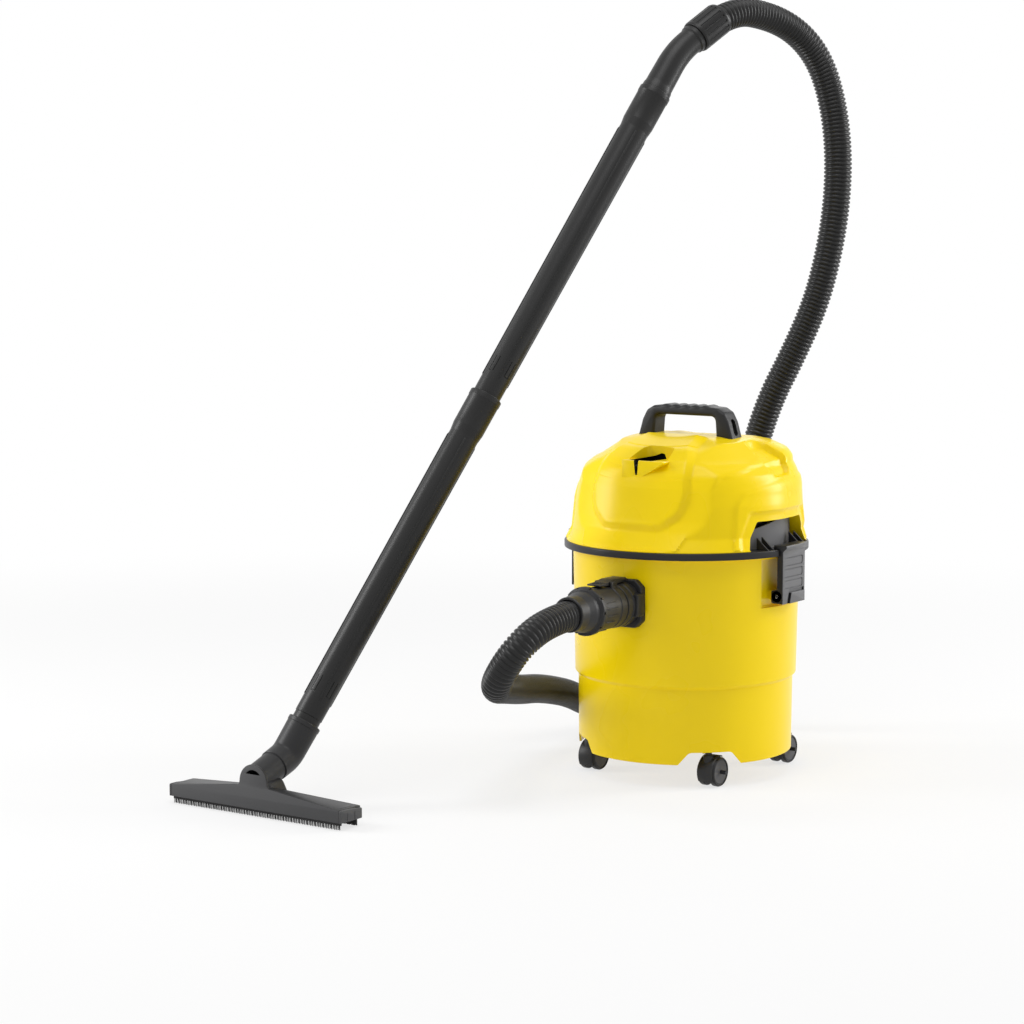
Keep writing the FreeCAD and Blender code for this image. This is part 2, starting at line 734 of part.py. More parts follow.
def make_head_cover():
    outer = cover_form(0)
    outer = outer.fuse(bib_panel(BIB_BEVEL * 1.6, 0.0)).fuse(bib_panel(0.0, BIB_STEP))
    inner = cover_form(COVER_WALL)
    frame = prism_x(window_outline(WINDOW_FRAME), 90, 170).cut(cover_form(WINDOW_FRAME_DEPTH))
    scoop = prism_x(scoop_outline(0), 80, 170).cut(cover_form(SCOOP_DEPTH))
    room = prism_x(scoop_outline(COVER_WALL), 80, 170).cut(cover_form(SCOOP_DEPTH + COVER_WALL))
    for cutter in both_sides(frame) + both_sides(scoop):
        outer = outer.cut(cutter)
    for cutter in both_sides(room):
        inner = inner.cut(cutter)
    outer = outer.cut(parking_pocket(0))
    inner = inner.cut(parking_pocket(COVER_WALL))
    cover = outer.cut(inner)
    for window in both_sides(prism_x(window_outline(0), 90, 170)):
        cover = cover.cut(window)
    cover = cover.cut(parking_slot())
    cover = cover.cut(rod(vec(PORT_X, 0, PORT_Z), vec(0, 1, 0), PORT_R, RING_R))
    cover = cover.cut(rod(vec(GLAND_X, 0, GLAND_Z), vec(0, 1, 0), GLAND_R, RING_R))
    for vent in exhaust_vents():
        cover = cover.cut(vent)
    keep("head_cover", cover.cut(switch_box(0)))
    return outer


def exhaust_vents():
    """Upright slots in the back of the head, between the power cord and the blower port."""
    first = VENT_X - (VENT_COUNT - 1) * VENT_PITCH / 2
    low, high = VENT_Z - VENT_LENGTH / 2, VENT_Z + VENT_LENGTH / 2
    slots = []
    for i in range(VENT_COUNT):
        x = first + i * VENT_PITCH
        slots.append(block(x - VENT_WIDTH / 2, x + VENT_WIDTH / 2, BASE_WALL_R + 1, RING_R, low, high))
    return slots


def handle_outline(foot_z):
    """The handle seen from the front: sloping legs, round corners and a row of finger bumps."""
    y = HANDLE_Y - HANDLE_HALF_DEPTH
    top = HANDLE_TOP_Z - HANDLE_BUMP_SAG
    shoulder = HANDLE_HALF_TOP - HANDLE_CORNER
    corner = HANDLE_CORNER * (1 - math.sqrt(0.5))
    step = 2 * shoulder / HANDLE_BUMPS
    edges = []
    for i in range(HANDLE_BUMPS):
        x = -shoulder + i * step
        arc = Part.Arc(vec(x, y, top), vec(x + step / 2, y, HANDLE_TOP_Z), vec(x + step, y, top))
        edges.append(arc.toShape())
    right = vec(HANDLE_HALF_TOP, y, top - HANDLE_CORNER)
    right_mid = vec(HANDLE_HALF_TOP - corner, y, top - corner)
    left = vec(-HANDLE_HALF_TOP, y, top - HANDLE_CORNER)
    left_mid = vec(-HANDLE_HALF_TOP + corner, y, top - corner)
    right_foot, left_foot = vec(HANDLE_HALF_FOOT, y, foot_z), vec(-HANDLE_HALF_FOOT, y, foot_z)
    feet = Part.makePolygon([right, right_foot, left_foot, left])
    edges.append(Part.Arc(vec(shoulder, y, top), right_mid, right).toShape())
    edges += feet.Edges
    edges.append(Part.Arc(left, left_mid, vec(-shoulder, y, top)).toShape())
    return Part.Face(Part.Wire(edges))


def make_handle(cover_outer):
    """The carry handle: two flared feet on the cover and a grip with finger bumps."""
    foot_z = CROWN_EDGE_Z - 8.0
    handle = handle_outline(foot_z).extrude(vec(0, 2 * HANDLE_HALF_DEPTH, 0))
    gap_half = HANDLE_HALF_FOOT - HANDLE_LEG - 6
    gap_top = HANDLE_TOP_Z - HANDLE_GRIP
    gap = [
        (-gap_half, foot_z - 1),
        (-gap_half + 4, gap_top - 6),
        (-gap_half + 10, gap_top),
        (gap_half - 10, gap_top),
        (gap_half - 4, gap_top - 6),
        (gap_half, foot_z - 1),
    ]
    y0 = HANDLE_Y - HANDLE_HALF_DEPTH - 1
    y1 = HANDLE_Y + HANDLE_HALF_DEPTH + 1
    handle = handle.cut(prism_y(gap, y0, y1)).cut(cover_outer)
    slot_mid = (foot_z + HANDLE_TOP_Z) / 2 + 1.5
    slot_x = HANDLE_HALF_TOP - HANDLE_SCOOP_DEPTH + 4
    slot = block(slot_x, slot_x + 20, HANDLE_Y - 5, HANDLE_Y + 5, slot_mid - 8.5, slot_mid + 8.5)
    for cutter in both_sides(slot):
        handle = handle.cut(cutter)
    keep("carry_handle", handle)


# Motor, fan, filter and float


def make_drive():
    motor = joined(
        [
            rod(vec(0, 0, MOTOR_LOW_Z), vec(0, 0, 1), MOTOR_R, MOTOR_TOP_Z - MOTOR_LOW_Z),
            rod(vec(0, 0, MOTOR_TOP_Z), vec(0, 0, 1), MOTOR_CAP_R, MOTOR_CAP_TOP_Z - MOTOR_TOP_Z),
            rod(vec(0, 0, SHAFT_LOW_Z), vec(0, 0, 1), SHAFT_R, MOTOR_LOW_Z - SHAFT_LOW_Z + 1),
        ]
    )
    keep("motor", motor)
    housing_top = MOTOR_LOW_Z - 4.0
    housing = turned(
        [
            (HOUSING_EYE_R, WEB_TOP_Z),
            (HOUSING_R, WEB_TOP_Z),
            (HOUSING_R, MOTOR_LOW_Z),
            (SHAFT_R + 8, MOTOR_LOW_Z),
            (SHAFT_R + 8, housing_top),
            (HOUSING_R - HOUSING_WALL, housing_top),
            (HOUSING_R - HOUSING_WALL, WEB_TOP_Z + HOUSING_WALL),
            (HOUSING_EYE_R, WEB_TOP_Z + HOUSING_WALL),
        ]
    )
    keep("fan_housing", housing)
    top = FAN_TOP_Z
    hub = rod(vec(0, 0, FAN_LOW_Z), vec(0, 0, 1), FAN_HUB_R, top - FAN_LOW_Z)
    disc = rod(vec(0, 0, top - FAN_DISC), vec(0, 0, 1), FAN_R, FAN_DISC)
    fan = hub.fuse(disc)
    for i in range(FAN_BLADES):
        blade = block(FAN_HUB_R - 1, FAN_R - 4, -0.9, 0.9, FAN_LOW_Z + 2, top - FAN_DISC)
        blade.rotate(vec(FAN_HUB_R, 0, 0), vec(0, 0, 1), 28)
        fan = fan.fuse(spun(blade, i * 360 / FAN_BLADES))
    bore = rod(vec(0, 0, FAN_LOW_Z - 1), vec(0, 0, 1), SHAFT_R + SHAFT_CLEARANCE, top - FAN_LOW_Z + 2)
    keep("fan", fan.cut(bore).removeSplitter())
    motor_cover = turned(
        [
            (MOTOR_R + 0.4, MOTOR_LOW_Z),
            (MOTOR_R + 9, MOTOR_LOW_Z),
            (MOTOR_R + 9, MOTOR_TOP_Z + 3),
            (MOTOR_CAP_R + 0.4, MOTOR_TOP_Z + 3),
            (MOTOR_CAP_R + 0.4, MOTOR_TOP_Z),
            (MOTOR_R + 6.5, MOTOR_TOP_Z),
            (MOTOR_R + 6.5, MOTOR_LOW_Z + 3),
            (MOTOR_R + 0.4, MOTOR_LOW_Z + 3),
        ]
    )
    keep("motor_cover", motor_cover)


def make_filter():
    cage = turned(
        [
            (CAGE_R - CAGE_WALL, CAGE_LOW_Z + CAGE_WALL),
            (CAGE_R - CAGE_WALL, CAGE_TOP_Z),
            (CAGE_FLANGE_R, CAGE_TOP_Z),
            (CAGE_FLANGE_R, CAGE_TOP_Z - CAGE_WALL),
            (CAGE_R, CAGE_TOP_Z - CAGE_WALL),
            (CAGE_R, CAGE_LOW_Z),
            (0, CAGE_LOW_Z),
            (0, CAGE_LOW_Z + CAGE_WALL),
        ]
    )
    width = 2 * math.pi * CAGE_R / CAGE_WINDOWS - CAGE_BAR
    for i in range(CAGE_WINDOWS):
        gap = block(CAGE_R - 8, CAGE_R + 4, -width / 2, width / 2, CAGE_LOW_Z + 22, CAGE_TOP_Z - 16)
        cage = cage.cut(spun(gap, i * 360 / CAGE_WINDOWS))
    keep("filter_cage", cage)
    bore = CAGE_R + FOAM_GAP
    foam = turned([(bore, FOAM_LOW_Z), (FOAM_R, FOAM_LOW_Z), (FOAM_R, FOAM_TOP_Z), (bore, FOAM_TOP_Z)])
    keep("foam_filter", foam)
    low = CAGE_LOW_Z + CAGE_WALL + FLOAT_GAP
    shoulder = low + FLOAT_HEIGHT - (FLOAT_R - FLOAT_TOP_R)
    top = low + FLOAT_HEIGHT
    keep("float_ball", turned([(0, low), (FLOAT_R, low), (FLOAT_R, shoulder), (FLOAT_TOP_R, top), (0, top)]))


# Back of the head


def switch_frame():
    """Centre and outward direction of the rocker on the sloping back of the head."""
    lean = math.radians(SWITCH_LEAN)
    bearing = math.atan2(COVER_WALL_R, SWITCH_X) - math.radians(8)
    outward = vec(math.cos(bearing) * math.cos(lean), math.sin(bearing) * math.cos(lean), math.sin(lean))
    reach = COVER_WALL_R - 4.5
    centre = vec(math.cos(bearing) * reach, math.sin(bearing) * reach, SWITCH_Z)
    return centre, outward


def switch_place(shape):
    centre, outward = switch_frame()
    sideways = unit(vec(-outward.y, outward.x, 0))
    upward = outward.cross(sideways)
    matrix = FreeCAD.Matrix(
        sideways.x, upward.x, outward.x, centre.x,
        sideways.y, upward.y, outward.y, centre.y,
        sideways.z, upward.z, outward.z, centre.z,
        0, 0, 0, 1,
    )
    moved = shape.copy()
    moved.Placement = FreeCAD.Placement(matrix).multiply(moved.Placement)
    return moved


def switch_box(gap):
    half_x = SWITCH_WIDTH / 2 + 2.5 - gap
    half_y = SWITCH_HEIGHT / 2 + 2.5 - gap
    return switch_place(block(-half_x, half_x, -half_y, half_y, -SWITCH_DEPTH - 8, 20))


def make_switch():
    half_x = SWITCH_WIDTH / 2
    half_y = SWITCH_HEIGHT / 2
    frame = block(-half_x - 2.5, half_x + 2.5, -half_y - 2.5, half_y + 2.5, -SWITCH_DEPTH, 2.0)
    room = block(-half_x, half_x, -half_y, half_y, -SWITCH_DEPTH + 2, 3)
    pin = rod(vec(-half_x - 1.5, 0, -3), vec(1, 0, 0), 1.5, SWITCH_WIDTH + 3)
    keep("switch_frame", switch_place(frame.cut(room).cut(pin)))
    keep("switch_pin", switch_place(pin))
    in_x = half_x - SWITCH_GAP
    in_y = half_y - 1.2
    outline = [(-in_y, 3.2), (0, 1.2), (in_y, 3.2), (in_y - 1.5, -5.5), (-in_y + 1.5, -5.5)]
    rocker = prism_x(outline, -in_x, in_x)
    rocker.rotate(vec(0, 0, -3), vec(1, 0, 0), -SWITCH_TILT)
    hole = rod(vec(-in_x - 1, 0, -3), vec(1, 0, 0), 1.5 + SHAFT_CLEARANCE, 2 * in_x + 2)
    keep("switch_rocker", switch_place(rocker.cut(hole)))


def make_back_fittings():
    start = vec(PORT_X, PORT_BACK_Y - PORT_DEPTH, PORT_Z)
    port = ring_rod(start, vec(0, 1, 0), PORT_R, PORT_BORE_R, PORT_DEPTH)
    rim = ring_rod(vec(PORT_X, PORT_BACK_Y - 3, PORT_Z), vec(0, 1, 0), PORT_R + 3.5, PORT_BORE_R, 3)
    keep("blower_port", port.fuse(rim).removeSplitter())
    back = BASE_WALL_R - 14
    gland = rod(vec(GLAND_X, back, GLAND_Z), vec(0, 1, 0), GLAND_R, COVER_FLARE_R - back - 8)
    nose = taper(vec(GLAND_X, COVER_FLARE_R - 8, GLAND_Z), vec(0, 1, 0), GLAND_R, GLAND_R - 2, GLAND_OUT - 8)
    bore = rod(vec(GLAND_X, back - 1, GLAND_Z), vec(0, 1, 0), GLAND_BORE_R, 60)
    keep("cord_gland", gland.fuse(nose).removeSplitter().cut(bore))


# Inlet and hose connector


def plate_outline():
    hx, hz = PLATE_HALF_X, PLATE_HALF_Z
    cx, cz = hx - PLATE_CORNER, hz - PLATE_CORNER
    upper = [(-hx, cz), (-cx, hz), (cx, hz), (hx, cz)]
    lower = [(hx, -cz), (cx, -hz), (-cx, -hz), (-hx, -cz)]
    return [(x, INLET_Z + z) for x, z in upper + lower]


def make_inlet():
    """The flange on the tub that the hose connector locks on."""
    toward = vec(0, -1, 0)
    front = -TUB_TOP_R - PLATE_OUT + 2
    plate = prism_y(plate_outline(), front, -TUB_STEP_R + 20)
    socket = rod(vec(0, front, INLET_Z), toward, SOCKET_R, front - SOCKET_Y)
    tub_form = turned([(0, SKIRT_Z)] + tub_outline(0) + [(TUB_TOP_R, TUB_TOP_Z), (0, TUB_TOP_Z)])
    body = plate.fuse(socket).cut(tub_form)
    back = -TUB_STEP_R + 12
    pipe = rod(vec(0, back, INLET_Z), toward, SPIGOT_R, back - SOCKET_Y)
    bore = rod(vec(0, back + 1, INLET_Z), toward, INLET_BORE_R, back + 2 - SOCKET_Y)
    keep("inlet_flange", body.fuse(pipe).removeSplitter().cut(bore))
    nut = ring_rod(vec(0, back, INLET_Z), toward, SPIGOT_R + 6, SPIGOT_R, NUT_WIDTH)
    room = turned([(0, SKIRT_Z)] + tub_inner_points() + [(0, TUB_TOP_Z)])
    keep("inlet_nut", nut.common(room))


def make_connector():
    """Sleeve, bayonet collar and cone neck that carry the hose's end."""
    toward = vec(0, -1, 0)
    sleeve = rod(vec(0, SLEEVE_Y, INLET_Z), toward, SLEEVE_R, SLEEVE_Y - SLEEVE_END_Y)
    collar = rod(vec(0, SLEEVE_END_Y, INLET_Z), toward, COLLAR_R, COLLAR_WIDTH)
    neck_start = SLEEVE_END_Y - COLLAR_WIDTH
    cone_length = 0.45 * (neck_start - NECK_END_Y)
    cone = taper(vec(0, neck_start, INLET_Z), toward, NECK_BASE_R, NECK_R, cone_length)
    neck_y = neck_start - cone_length
    neck = rod(vec(0, neck_y, INLET_Z), toward, NECK_R, neck_y - NECK_END_Y)
    body = joined([sleeve, collar, cone, neck])
    for i in range(SLEEVE_RIBS):
        angle = 360.0 * i / SLEEVE_RIBS
        rib = block(-1, 1, SLEEVE_END_Y, SLEEVE_Y - 22, INLET_Z + SLEEVE_R - 1, INLET_Z + SLEEVE_R + 1.1)
        rib.rotate(vec(0, 0, INLET_Z), vec(0, 1, 0), angle)
        if abs(angle - 360 * round(angle / 360)) > 40:
            body = body.fuse(rib)
    plug = ring_rod(vec(0, SLEEVE_Y + 16, INLET_Z), toward, INLET_BORE_R - TUBE_FIT, HOSE_BORE_R, 17)
    hose_room = rod(HOSE_INLET_END, toward, HOSE_R + HOSE_FIT, HOSE_IN_NECK + 1)
    airway = rod(vec(0, SLEEVE_Y + 1, INLET_Z), toward, HOSE_BORE_R, 80)
    body = body.removeSplitter().cut(hose_room).cut(airway)
    slot = lever_slot()
    keep("hose_connector", body.cut(slot).fuse(plug).fuse(lever_ears()).cut(lever_pin(0)).removeSplitter())


def lever_slot():
    top = INLET_Z + SLEEVE_R
    half = LEVER_WIDTH / 2 + 0.5
    return block(-half, half, LEVER_FRONT_Y - 1, SLEEVE_Y + 1, top - 3.5, top + 20)


def lever_ears():
    """Two low ears on the sleeve that hold the release lever's pin."""
    top = INLET_Z + SLEEVE_R
    ears = []
    for side in (-1, 1):
        y0, y1 = LEVER_PIN_Y - 6, LEVER_PIN_Y + 6
        x0 = side * (LEVER_WIDTH / 2 + 0.5)
        x1 = x0 + side * LEVER_EAR
        ears.append(block(min(x0, x1), max(x0, x1), y0, y1, top - 8, top + LEVER_RISE))
    return ears[0].fuse(ears[1])


def lever_pin(grow):
    top = INLET_Z + SLEEVE_R
    half = LEVER_WIDTH / 2 + 0.5 + LEVER_EAR
    return rod(vec(-half, LEVER_PIN_Y, top + 1.5), vec(1, 0, 0), LEVER_PIN_R + grow, 2 * half)


def make_lever():
    """The release lever that hooks over the inlet flange."""
    top = INLET_Z + SLEEVE_R
    low = top + 0.8
    outline = [
        (LEVER_FRONT_Y, low + 1.0),
        (LEVER_FRONT_Y, low + 2.6),
        (LEVER_PIN_Y - 8, low + LEVER_THICK),
        (LEVER_PIN_Y + 2, low + LEVER_THICK + 2.0),
        (LEVER_BACK_Y - 6, low + LEVER_THICK + 2.0),
        (LEVER_BACK_Y, low + LEVER_THICK - 1.0),
        (LEVER_BACK_Y, low + 1.6),
        (LEVER_BACK_Y - 6, low + 1.6),
        (SOCKET_Y + 3, low + 0.6),
        (LEVER_PIN_Y, low - 1.2),
        (LEVER_PIN_Y - 8, low - 0.6),
    ]
    lever = prism_x(outline, -LEVER_WIDTH / 2, LEVER_WIDTH / 2)
    keep("connector_lever", lever.cut(lever_pin(SHAFT_CLEARANCE)))
    keep("lever_pin", lever_pin(0))


# Hose


def route_pieces(points):
    """Straight runs and tangent arcs along a route: (kind, data) with each arc as wide as its runs allow."""
    runs = [(b - a).Length for a, b in zip(points, points[1:])]
    pieces, radii = [], []
    here = points[0]
    for i in range(1, len(points) - 1):
        way_in = unit(points[i] - points[i - 1])
        way_out = unit(points[i + 1] - points[i])
        turn = way_in.getAngle(way_out)
        cut = HOSE_ARC_SHARE * min(runs[i - 1], runs[i])
        radius = cut / math.tan(turn / 2)
        enter = points[i] - way_in * cut
        side = unit(way_out - way_in * way_in.dot(way_out))
        pieces.append(("line", here, enter, None, (enter - here).Length))
        pieces.append(("arc", enter, way_in, side * radius, radius * turn))
        radii.append(radius)
        here = points[i] + way_out * cut
    pieces.append(("line", here, points[-1], None, (points[-1] - here).Length))
    return pieces, radii


def route_station(pieces, distance):
    """Point and direction at a distance along the route."""
    left = distance
    for kind, start, second, spoke, length in pieces:
        if left > length and (kind, start, second) != pieces[-1][:3]:
            left -= length
            continue
        if kind == "line":
            way = unit(second - start)
            return start + way * left, way
        radius = spoke.Length
        angle = left / radius
        centre = start + spoke
        way = second * math.cos(angle) + unit(spoke) * math.sin(angle)
        point = centre - unit(spoke) * radius * math.cos(angle) + second * radius * math.sin(angle)
        return point, way


def steady_circle(point, way, side, radius):
    """A circle across the route whose X axis is carried on from the circle before."""
    side = unit(side - way * side.dot(way))
    circle = Part.Circle(point, way, radius)
    circle.XAxis = side
    return Part.Wire([circle.toShape()]), side


def make_hose():
    """The ribbed hose: a ruled loft through four circles a rib, and its bore."""
    pieces, radii = route_pieces(HOSE_ROUTE)
    length = sum(p[4] for p in pieces)
    pitch = length / HOSE_RIBS
    crest = HOSE_CREST_SHARE * pitch
    flank = HOSE_FLANK_SHARE * pitch
    lead = (pitch - crest - 2 * flank) / 2
    side = vec(0.31, -0.87, 0.39)
    outer, inner = [], []
    for i in range(HOSE_RIBS):
        base = i * pitch
        marks = [
            (base + lead, HOSE_ROOT_R),
            (base + lead + flank, HOSE_R),
            (base + lead + flank + crest, HOSE_R),
            (base + pitch - lead, HOSE_ROOT_R),
        ]
        if i == 0:
            marks = [(0.0, HOSE_ROOT_R)] + marks
        if i == HOSE_RIBS - 1:
            marks = marks + [(length, HOSE_ROOT_R)]
        for distance, radius in marks:
            point, way = route_station(pieces, distance)
            wire, side = steady_circle(point, way, side, radius)
            outer.append(wire)
            if radius == HOSE_ROOT_R:
                inner.append(steady_circle(point, way, side, HOSE_BORE_R)[0])
    hose = Part.makeLoft(outer, True, True).cut(Part.makeLoft(inner, True, True))
    keep("suction_hose", hose)
    mean_r2 = hose_mean_square(pitch, crest, flank)
    expected = math.pi * (mean_r2 - HOSE_BORE_R ** 2) * length
    print("hose length %.0f mm, %d ribs, pitch %.1f mm" % (length, HOSE_RIBS, pitch))
    print("hose route radii", " ".join("%.0f" % r for r in radii))
    print("hose volume %.0f, section times length %.0f, valid %s" % (hose.Volume, expected, hose.isValid()))


def hose_mean_square(pitch, crest, flank):
    """Mean square outer radius over one rib."""
    root = pitch - crest - 2 * flank
    cone = (HOSE_R ** 2 + HOSE_R * HOSE_ROOT_R + HOSE_ROOT_R ** 2) / 3
    return (root * HOSE_ROOT_R ** 2 + crest * HOSE_R ** 2 + 2 * flank * cone) / pitch


def make_cuff():
    """The fluted swivel cuff between hose and bend."""
    body = turned(
        [
            (BEND_R + CUFF_RUN_FIT, 0),
            (CUFF_R, 0),
            (CUFF_R, CUFF_LENGTH),
            (HOSE_R + HOSE_FIT, CUFF_LENGTH),
            (HOSE_R + HOSE_FIT, CUFF_LENGTH - HOSE_IN_CUFF),
            (BEND_R + CUFF_RUN_FIT, CUFF_LENGTH - HOSE_IN_CUFF),
        ]
    )
    for i in range(CUFF_FLUTES):
        flute = rod(vec(CUFF_R + 0.6, 0, 4), vec(0, 0, 1), CUFF_FLUTE_R, CUFF_LENGTH - 8)
        body = body.cut(spun(flute, 360 * i / CUFF_FLUTES))
    keep("hose_cuff", seated(body, CUFF_START, CUFF_DIR))


# Wand


def tube_form():
    """One plastic suction tube along Z: tapered plug end, ribbed body and socket."""
    taper_top = TUBE_LENGTH - TUBE_SOCKET - 8
    fit = TUBE_PLUG_R + TUBE_FIT
    body = turned(
        [
            (TUBE_BORE_R, 0),
            (TUBE_PLUG_R, 0),
            (TUBE_PLUG_R, TUBE_PLUG),
            (TUBE_R, TUBE_PLUG),
            (TUBE_R, taper_top),
            (TUBE_SOCKET_R, taper_top + 8),
            (TUBE_SOCKET_R, TUBE_LENGTH),
            (fit, TUBE_LENGTH),
            (fit, TUBE_LENGTH - TUBE_PLUG),
            (TUBE_BORE_R, TUBE_LENGTH - TUBE_PLUG - 1.5),
        ]
    )
    ribs = []
    for i in range(TUBE_RIBS):
        rib = block(
            TUBE_R - 1.5, TUBE_R + TUBE_RIB_OUT, -TUBE_RIB / 2, TUBE_RIB / 2, TUBE_PLUG + 18, taper_top - 6
        )
        ribs.append(spun(rib, 45 + 360 * i / TUBE_RIBS))
    return body.multiFuse(ribs).removeSplitter()


def make_wand():
    tube = tube_form()
    keep("lower_tube", seated(tube, LOWER_TUBE_START, WAND_DIR))
    keep("upper_tube", seated(tube, UPPER_TUBE_START, WAND_DIR))
    plug = ring_rod(WAND_TOP - WAND_DIR * TUBE_PLUG, WAND_DIR, TUBE_PLUG_R, BEND_BORE_R, TUBE_PLUG)
    points = bend_path(BEND_CORNER, WAND_DIR, CUFF_DIR, BEND_ARC, BEND_SEGMENTS)
    points[0] = WAND_TOP
    points[-1] = CUFF_START + CUFF_DIR * BEND_IN_CUFF
    collar = ring_rod(CUFF_START - CUFF_DIR * 3.0, CUFF_DIR, BEND_R + 1.6, BEND_BORE_R, 2.6)
    keep("suction_bend", joined([plug] + mitred_pipe(points, BEND_R, BEND_BORE_R) + [collar]))


def bend_path(corner, way_in, way_out, arc, segments):
    """Points of a bend round a corner, as straight runs that touch the arc."""
    turn = way_in.getAngle(way_out)
    leg = arc * math.tan(turn / 2)
    side = unit(way_out - way_in * way_in.dot(way_out))
    start = corner - way_in * leg
    centre = start + side * arc
    touch = turn / segments
    points = [start]
    for i in range(segments):
        angle = touch * (i + 0.5)
        out = side * (-math.cos(angle)) + way_in * math.sin(angle)
        points.append(centre + out * (arc / math.cos(touch / 2)))
    return points + [corner + way_out * leg]


def mitred_pipe(points, r_out, r_in):
    """A pipe of straight runs, mitred where they meet."""
    runs = []
    for i in range(len(points) - 1):
        way = unit(points[i + 1] - points[i])
        length = (points[i + 1] - points[i]).Length
        run = ring_rod(points[i] - way * r_out, way, r_out, r_in, length + 2 * r_out)
        before = unit(points[i] - points[i - 1]) if i > 0 else way
        after = unit(points[i + 2] - points[i + 1]) if i + 2 < len(points) else way
        run = run.cut(half_space(points[i], unit(way + before) * -1))
        runs.append(run.cut(half_space(points[i + 1], unit(way + after))))
    return runs


def half_space(point, outward):
    """A block that fills what lies past a point in one direction."""
    size = 6 * CUFF_R
    box = Part.makeBox(size, size, size, vec(-size / 2, -size / 2, 0))
    return seated(box, point, outward)


# Floor nozzle


def make_elbow():
    """The sleeve that takes the lower tube and turns on the nozzle's neck."""
    leg = ELBOW_ARC * math.tan(NECK_PIPE_DIR.getAngle(WAND_DIR) / 2)
    points = bend_path(ELBOW_POINT, NECK_PIPE_DIR, WAND_DIR, ELBOW_ARC, ELBOW_SEGMENTS)
    points[0] = NECK_PIPE_START + NECK_PIPE_DIR * ELBOW_START
    runs = mitred_pipe(points, ELBOW_R, NECK_PIPE_BORE_R)
    neck_room = NECK_PIPE_LENGTH - ELBOW_START + 1.4
    runs[0] = runs[0].cut(rod(points[0] - NECK_PIPE_DIR, NECK_PIPE_DIR, NECK_PIPE_R + ELBOW_FIT, neck_room))
    sleeve_length = ELBOW_POINT_BACK - leg
    sleeve = ring_rod(points[-1], WAND_DIR, ELBOW_R, NECK_PIPE_BORE_R, sleeve_length)
    sleeve = sleeve.cut(rod(LOWER_TUBE_START, WAND_DIR, TUBE_PLUG_R + TUBE_FIT, SLEEVE_INSERT + 1))
    runs[-1] = runs[-1].cut(rod(LOWER_TUBE_START, WAND_DIR, TUBE_PLUG_R + TUBE_FIT, SLEEVE_INSERT + 1))
    keep("nozzle_elbow", joined(runs + [sleeve]))


def gable(half, low, inset):
    """Front outline of the nozzle body, higher in the middle."""
    x = NOZZLE_X
    return [
        (x - half, low),
        (x - half, NOZZLE_END_Z - inset),
        (x - HUMP_R, NOZZLE_MID_Z - inset),
        (x + HUMP_R, NOZZLE_MID_Z - inset),
        (x + half, NOZZLE_END_Z - inset),
        (x + half, low),
    ]


def rear_slope(inset):
    """The wedge that is cut off the top towards the back."""
    back = NOZZLE_FRONT_Y + NOZZLE_DEPTH
    high = NOZZLE_MID_Z + 40
    outline = [
        (NOZZLE_FRONT_Y + 10, NOZZLE_MID_Z - inset),
        (back + 1, NOZZLE_END_Z - NOZZLE_REAR_DROP + 6 - inset),
        (back + 1, high),
        (NOZZLE_FRONT_Y + 10, high),
    ]
    return prism_x(outline, NOZZLE_X - NOZZLE_LENGTH, NOZZLE_X + NOZZLE_LENGTH)


